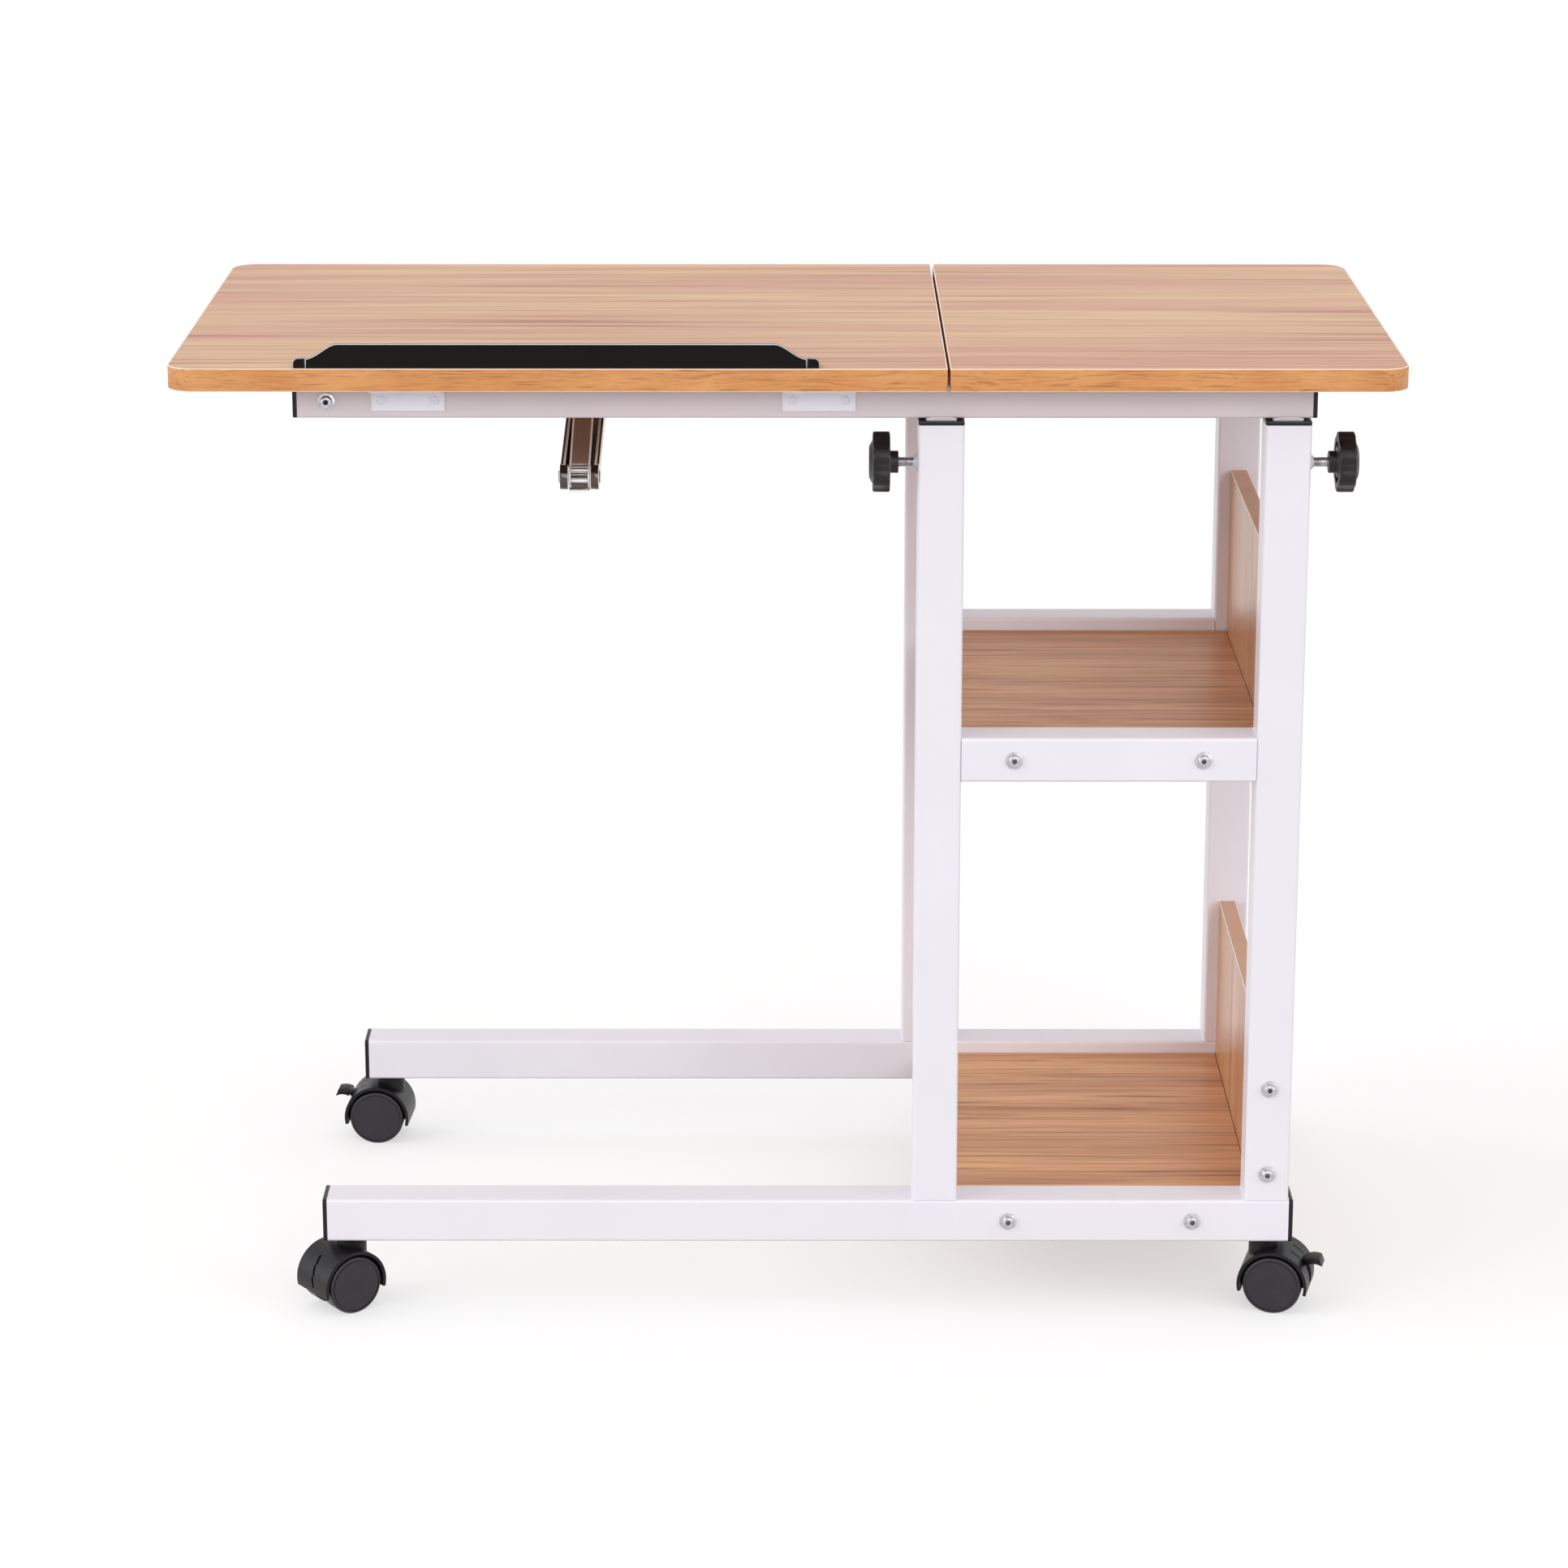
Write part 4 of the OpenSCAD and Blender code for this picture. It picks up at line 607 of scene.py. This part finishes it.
def roundedSlab(work, outline, floor, front, back, edge, steps, highlightRings=()):
    # an upright slab, rounded at the front and the back by rings of points; the chosen rings take the painted
    # highlight
    count = len(outline)
    normals = []
    for i in range(count):
        before, after = outline[max(i - 1, 0)], outline[min(i + 1, count - 1)]
        dx, dz = after[0] - before[0], after[1] - before[1]
        length = math.hypot(dx, dz)
        normals.append((-dz / length, dx / length))
    normals[0], normals[-1] = (-1, 0), (1, 0)
    rings = []
    for depth, sign in ((front, 1), (back, -1)):
        turns = [math.radians(90 * k / steps) for k in range(steps + 1)]
        for turn in turns if sign > 0 else reversed(turns):
            inset = edge * (1 - math.sin(turn))
            y = depth + sign * edge * (1 - math.cos(turn))
            ring = []
            for (x, z), (nx, nz) in zip(outline, normals):
                ring.append(work.verts.new((x - nx * inset, y, floor + max(z - nz * inset, 0))))
            rings.append(ring)
    for k in range(len(rings) - 1):
        for i in range(count - 1):
            face = work.faces.new((rings[k][i], rings[k][i + 1], rings[k + 1][i + 1], rings[k + 1][i]))
            face.smooth = True
            face.material_index = 1 if k in highlightRings else 0
    work.faces.new(rings[0])
    work.faces.new(list(reversed(rings[-1])))
    work.faces.new([ring[0] for ring in rings] + [ring[-1] for ring in reversed(rings)])


def stopperBar(look):
    low, high = boxOf("stopper_bar")
    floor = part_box("tilting_board")[1][2]
    wall, leftEnd, rightEnd = barOutlines(look, low, high, high.z - floor)
    work = bmesh.new()
    front, back, steps, highlightRings = low.y, low.y + mm(look["wall"]), look["edgeSteps"], range(*look["highlightRings"])
    roundedSlab(work, wall, floor, front, back, mm(look["edge"]), steps, highlightRings)
    endFront, endEdge = front + mm(look["setBack"]), mm(look["endEdge"])
    for end in (leftEnd, rightEnd):
        roundedSlab(work, end, floor, endFront, back, endEdge, steps, highlightRings)
    footTop = mm(look["foot"])
    foot = [(low.x, 0), (low.x, footTop), (high.x, footTop), (high.x, 0)]
    roundedSlab(work, foot, floor, back, high.y, mm(look["footEdge"]), steps)
    pegs = [v.co.copy() for v in nodes["stopper_bar"].data.vertices if v.co.z < floor - mm(1)]
    middle, radius = (low.x + high.x) / 2, mm(look["pegRadius"])
    for points in ([p for p in pegs if p.x < middle], [p for p in pegs if p.x >= middle]):
        spot = [(min(p[i] for p in points) + max(p[i] for p in points)) / 2 for i in (0, 1)]
        standing = Matrix.Translation((spot[0], spot[1], (floor + low.z) / 2))
        bmesh.ops.create_cone(work, cap_ends=True, segments=look["pegSides"], radius1=radius,
                              radius2=radius, depth=floor - low.z, matrix=standing)
    bmesh.ops.recalc_face_normals(work, faces=work.faces)
    mesh = bpy.data.meshes.new("stopper_bar_soft")
    work.to_mesh(mesh)
    work.free()
    for finish in ("black_gloss", "bar_painted_highlight"):
        mesh.materials.append(finishes[finish])
    piece = newObject("stopper_bar_soft", mesh)
    return finishPiece(piece, bodyOf["stopper_bar"], slotOf["stopper_bar"], "stopper_bar")


stopperBar(barLook)
print("stopper bar ready")


# fine forms made by Geometry Nodes: each tree takes a path, and is run on it to make a plain mesh
wireSides = 8


def startTree(name, labels):
    tree = bpy.data.node_groups.new(name, "GeometryNodeTree")
    addSockets(tree, "INPUT", {"Geometry": ["Geometry"], "Float": labels, "Material": ["Finish"]})
    addSockets(tree, "OUTPUT", {"Geometry": ["Geometry"]})
    build = Tree(tree)
    given = build.add("NodeGroupInput").outputs
    path = build.add("GeometryNodeMeshToCurve")
    build.put(path.inputs["Mesh"], given["Geometry"])
    return build, given, path.outputs["Curve"]


def alongPath(build, path, pitch, shape):
    points = build.add("GeometryNodeResampleCurve", mode="LENGTH")
    build.put(points.inputs["Curve"], path)
    build.put(points.inputs["Length"], pitch)
    row = build.add("GeometryNodeInstanceOnPoints")
    build.put(row.inputs["Points"], points.outputs["Curve"])
    build.put(row.inputs["Instance"], shape)
    return row


def circleCurve(build, radius, sides):
    circle = build.add("GeometryNodeCurvePrimitiveCircle")
    circle.inputs["Resolution"].default_value = sides
    build.put(circle.inputs["Radius"], radius)
    return circle.outputs["Curve"]


def sweptWire(build, path, radius):
    tube = build.add("GeometryNodeCurveToMesh")
    build.put(tube.inputs["Curve"], path)
    build.put(tube.inputs["Profile Curve"], circleCurve(build, radius, wireSides))
    tube.inputs["Fill Caps"].default_value = True
    return tube.outputs["Mesh"]


def endTree(build, given, shape):
    real = build.add("GeometryNodeRealizeInstances")
    smooth = build.add("GeometryNodeSetShadeSmooth")
    finish = build.add("GeometryNodeSetMaterial")
    build.put(finish.inputs["Material"], given["Finish"])
    for node in (real, smooth, finish, build.add("NodeGroupOutput")):
        build.put(node.inputs["Geometry"], shape)
        shape = node.outputs["Geometry"] if node.outputs else None
    return build.tree


def runTree(tree, start, values, name, body, slot):
    # sets a tree's named inputs, turns its result into a plain mesh and lets it ride on a body
    carrier = newObject(name + "_path", start)
    modifier = carrier.modifiers.new("nodes", "NODES")
    modifier.node_group = tree
    for item in tree.interface.items_tree:
        if item.item_type == "SOCKET" and item.in_out == "INPUT" and item.name in values:
            modifier[item.identifier] = values[item.name]
    carrier.update_tag()
    bpy.context.view_layer.update()
    evaluated = carrier.evaluated_get(bpy.context.evaluated_depsgraph_get())
    mesh = bpy.data.meshes.new_from_object(evaluated)
    bpy.data.objects.remove(carrier)
    return finishPiece(newObject(name, mesh), body, slot)


def linesMesh(name, lines):
    mesh = bpy.data.meshes.new(name)
    points, edges = [], []
    for line in lines:
        start = len(points)
        points += line
        edges += [(start + i, start + i + 1) for i in range(len(line) - 1)]
    mesh.from_pydata(points, edges, [])
    return mesh


def solidBoxes(node):
    part = mergedCopy(node, node + "_parts")
    boxes = partBoxes(part.data)
    bpy.data.objects.remove(part)
    return boxes


# weld seams: short rows of overlapping blobs under the paint
welds = {"pitch": 0.8, "radius": 0.8, "smallest": 0.8, "seed": 7, "endGap": 3}


def weldTree():
    build, given, path = startTree("weldRow", ["Pitch", "Radius", "Smallest"])
    addSockets(build.tree, "INPUT", {"Int": ["Seed"]})
    blob = build.add("GeometryNodeMeshIcoSphere")
    build.put(blob.inputs["Radius"], given["Radius"])
    blob.inputs["Subdivisions"].default_value = 2
    size = build.add("FunctionNodeRandomValue", data_type="FLOAT")
    build.put(size.inputs[2], given["Smallest"])
    size.inputs[3].default_value = 1.0
    build.put(size.inputs["Seed"], given["Seed"])
    row = alongPath(build, path, given["Pitch"], blob.outputs["Mesh"])
    build.put(row.inputs["Scale"], size.outputs[1])
    return endTree(build, given, row.outputs["Instances"])


def weldLines(look):
    gap = mm(look["endGap"])
    frameLines, upperLines = [], []
    for low, high in solidBoxes("posts"):
        for x in (low.x, high.x):
            frameLines.append([(x, low.y + gap, low.z), (x, high.y - gap, low.z)])
    for low, high in solidBoxes("shelf_rails"):
        for x in (low.x, high.x):
            for z in (low.z, high.z):
                frameLines.append([(x, low.y + gap, z), (x, high.y - gap, z)])
            inner = low.y if low.y > 0 else high.y
            frameLines.append([(x, inner, low.z + gap), (x, inner, high.z - gap)])
    for low, high in solidBoxes("inner_tubes"):
        for x in (low.x, high.x):
            upperLines.append([(x, low.y + gap, high.z), (x, high.y - gap, high.z)])
        for y in (low.y, high.y):
            upperLines.append([(low.x + gap, y, high.z), (high.x - gap, y, high.z)])
    return {"frame": frameLines, "upper_frame": upperLines}


weldRow = weldTree()
seams = weldLines(welds)
for body, lines in seams.items():
    values = {"Pitch": mm(welds["pitch"]), "Radius": mm(welds["radius"]), "Smallest": welds["smallest"],
              "Seed": welds["seed"], "Finish": finishes["white_paint"]}
    runTree(weldRow, linesMesh("weldPath", lines), values, "welds_" + body, body, "white_paint")
print("weld rows:", sum(len(lines) for lines in seams.values()))


# paint that has gathered round the fixed hinge leaves, in a lighter white that is a painted highlight
bead = {"radius": 0.42, "leafTop": 1.0}


def beadTree():
    build, given, path = startTree("paintBead", ["Radius"])
    return endTree(build, given, sweptWire(build, path, given["Radius"]))


def beadLines(look):
    # down one side of each leaf, along its foot and up the other side
    railLow, railHigh = boxOf("front_rail")
    top = railHigh.z - mm(look["leafTop"])
    return [[(x, railLow.y, z) for x, z in ((low.x, top), (low.x, low.z), (high.x, low.z), (high.x, top))]
            for low, high in solidBoxes("hinge_fixed_leaves")]


beadPaths = beadLines(bead)
values = {"Radius": mm(bead["radius"]), "Finish": finishes["leaf_painted_highlight"]}
runTree(beadTree(), linesMesh("beadPath", beadPaths), values, "paint_beads", "upper_frame", "white_paint")
print("paint beads:", len(beadPaths))


# threads of the clamp screws: rings at the screw's pitch, on the part that shows
thread = {"pitch": 1.0, "wire": 0.3, "radius": 3.0, "length": 9.0, "start": 0.35, "ringSides": 32}


def threadTree(look):
    build, given, path = startTree("threadRings", ["Pitch", "Radius", "Wire"])
    ring = sweptWire(build, circleCurve(build, given["Radius"], look["ringSides"]), given["Wire"])
    facing = build.add("FunctionNodeAlignRotationToVector", axis="Z")
    build.put(facing.inputs["Vector"], build.add("GeometryNodeInputTangent").outputs["Tangent"])
    row = alongPath(build, path, given["Pitch"], ring)
    build.put(row.inputs["Rotation"], facing.outputs["Rotation"])
    return endTree(build, given, row.outputs["Instances"])


threadRings = threadTree(thread)
for place in places:
    low, high = boxOf("knob_" + place)
    side = -1 if place.endswith("left") else 1
    start = (low + high) / 2
    start.x = (high.x if side < 0 else low.x) - side * mm(thread["start"])
    end = start - Vector((side * mm(thread["length"]), 0, 0))
    values = {"Pitch": mm(thread["pitch"]), "Radius": mm(thread["radius"]), "Wire": mm(thread["wire"]),
              "Finish": finishes["zinc"]}
    runTree(threadRings, linesMesh("threadPath", [[start, end]]), values,
            "thread_" + place, "screw_" + place, "zinc")
print("threads:", len(places))


# stage, light and camera
studio = {"floorSize": 60, "floorTone": (190, 189, 189), "toneDrop": 2, "floorLift": 0.52,
          "skyStrength": 0.73, "skySeen": 0.98,
          "suns": {"front": (0.78, 38, (0.2, -1.0, 0.42)), "left": (1.85, 80, (-0.95, -0.30, 0.22)),
                   "right": (0.45, 35, (0.9, -0.5, 0.35))}}


def seenOnly(build, strength):
    # light that only the camera and reflections see, as from a white sweep with lamps of its own
    path = build.add("ShaderNodeLightPath")
    seen = build.math("MAXIMUM", path.outputs["Is Camera Ray"], path.outputs["Is Glossy Ray"])
    return build.math("MULTIPLY", seen, strength)


def buildStudio(look):
    mesh = bpy.data.meshes.new("floor")
    half = look["floorSize"] / 2
    corners = [(-half, -half, 0), (half, -half, 0), (half, half, 0), (-half, half, 0)]
    mesh.from_pydata(corners, [], [(0, 1, 2, 3)])
    floor = newObject("floor", mesh)
    material, build, surface, place = startMaterial("paleFloor")
    tone = build.noise(place, 2.0, 3.0)
    low = [value - look["toneDrop"] for value in look["floorTone"]]
    tint = build.mix(build.span(tone, 0.3, 0.7), linear(*look["floorTone"]), linear(*low))
    build.put(surface.inputs["Base Color"], tint)
    surface.inputs["Roughness"].default_value = 0.9
    surface.inputs["Specular IOR Level"].default_value = 0.05
    surface.inputs["Emission Color"].default_value = (1, 1, 1, 1)
    build.put(surface.inputs["Emission Strength"], seenOnly(build, look["floorLift"]))
    mesh.materials.append(material)
    world = bpy.data.worlds.new("studioSky")
    bpy.context.scene.world = world
    world.use_nodes = True
    sky = world.node_tree.nodes["Background"]
    sky.inputs["Color"].default_value = (1, 0.995, 0.995, 1)
    above = Tree(world.node_tree)
    lift = seenOnly(above, look["skySeen"] - look["skyStrength"])
    above.put(sky.inputs["Strength"], above.math("ADD", lift, look["skyStrength"]))
    for name, (strength, spread, side) in look["suns"].items():
        light = bpy.data.lights.new(name, "SUN")
        light.energy = strength
        light.angle = math.radians(spread)
        lamp = newObject(name, light)
        lamp.location = Vector(side) * 3
        lamp.rotation_euler = Vector(side).to_track_quat("Z", "Y").to_euler()


cameraSpot = {"place": (0.0025, -3.1716, 1.2282), "pitch": 0.2782, "yaw": 0.0017, "focalPixels": 5796.7,
              "frame": 1932, "sensor": 36}


def buildCamera(look):
    data = bpy.data.cameras.new("viewpoint")
    data.sensor_fit = "HORIZONTAL"
    data.sensor_width = look["sensor"]
    data.lens = look["focalPixels"] / look["frame"] * look["sensor"]
    data.clip_start = 0.05
    data.clip_end = 60
    camera = newObject("viewpoint", data)
    camera.location = look["place"]
    camera.rotation_euler = (math.pi / 2 - look["pitch"], 0, look["yaw"])
    bpy.context.scene.camera = camera


buildStudio(studio)
buildCamera(cameraSpot)
bpy.context.scene.view_settings.view_transform = "Standard"
print("studio and camera ready")
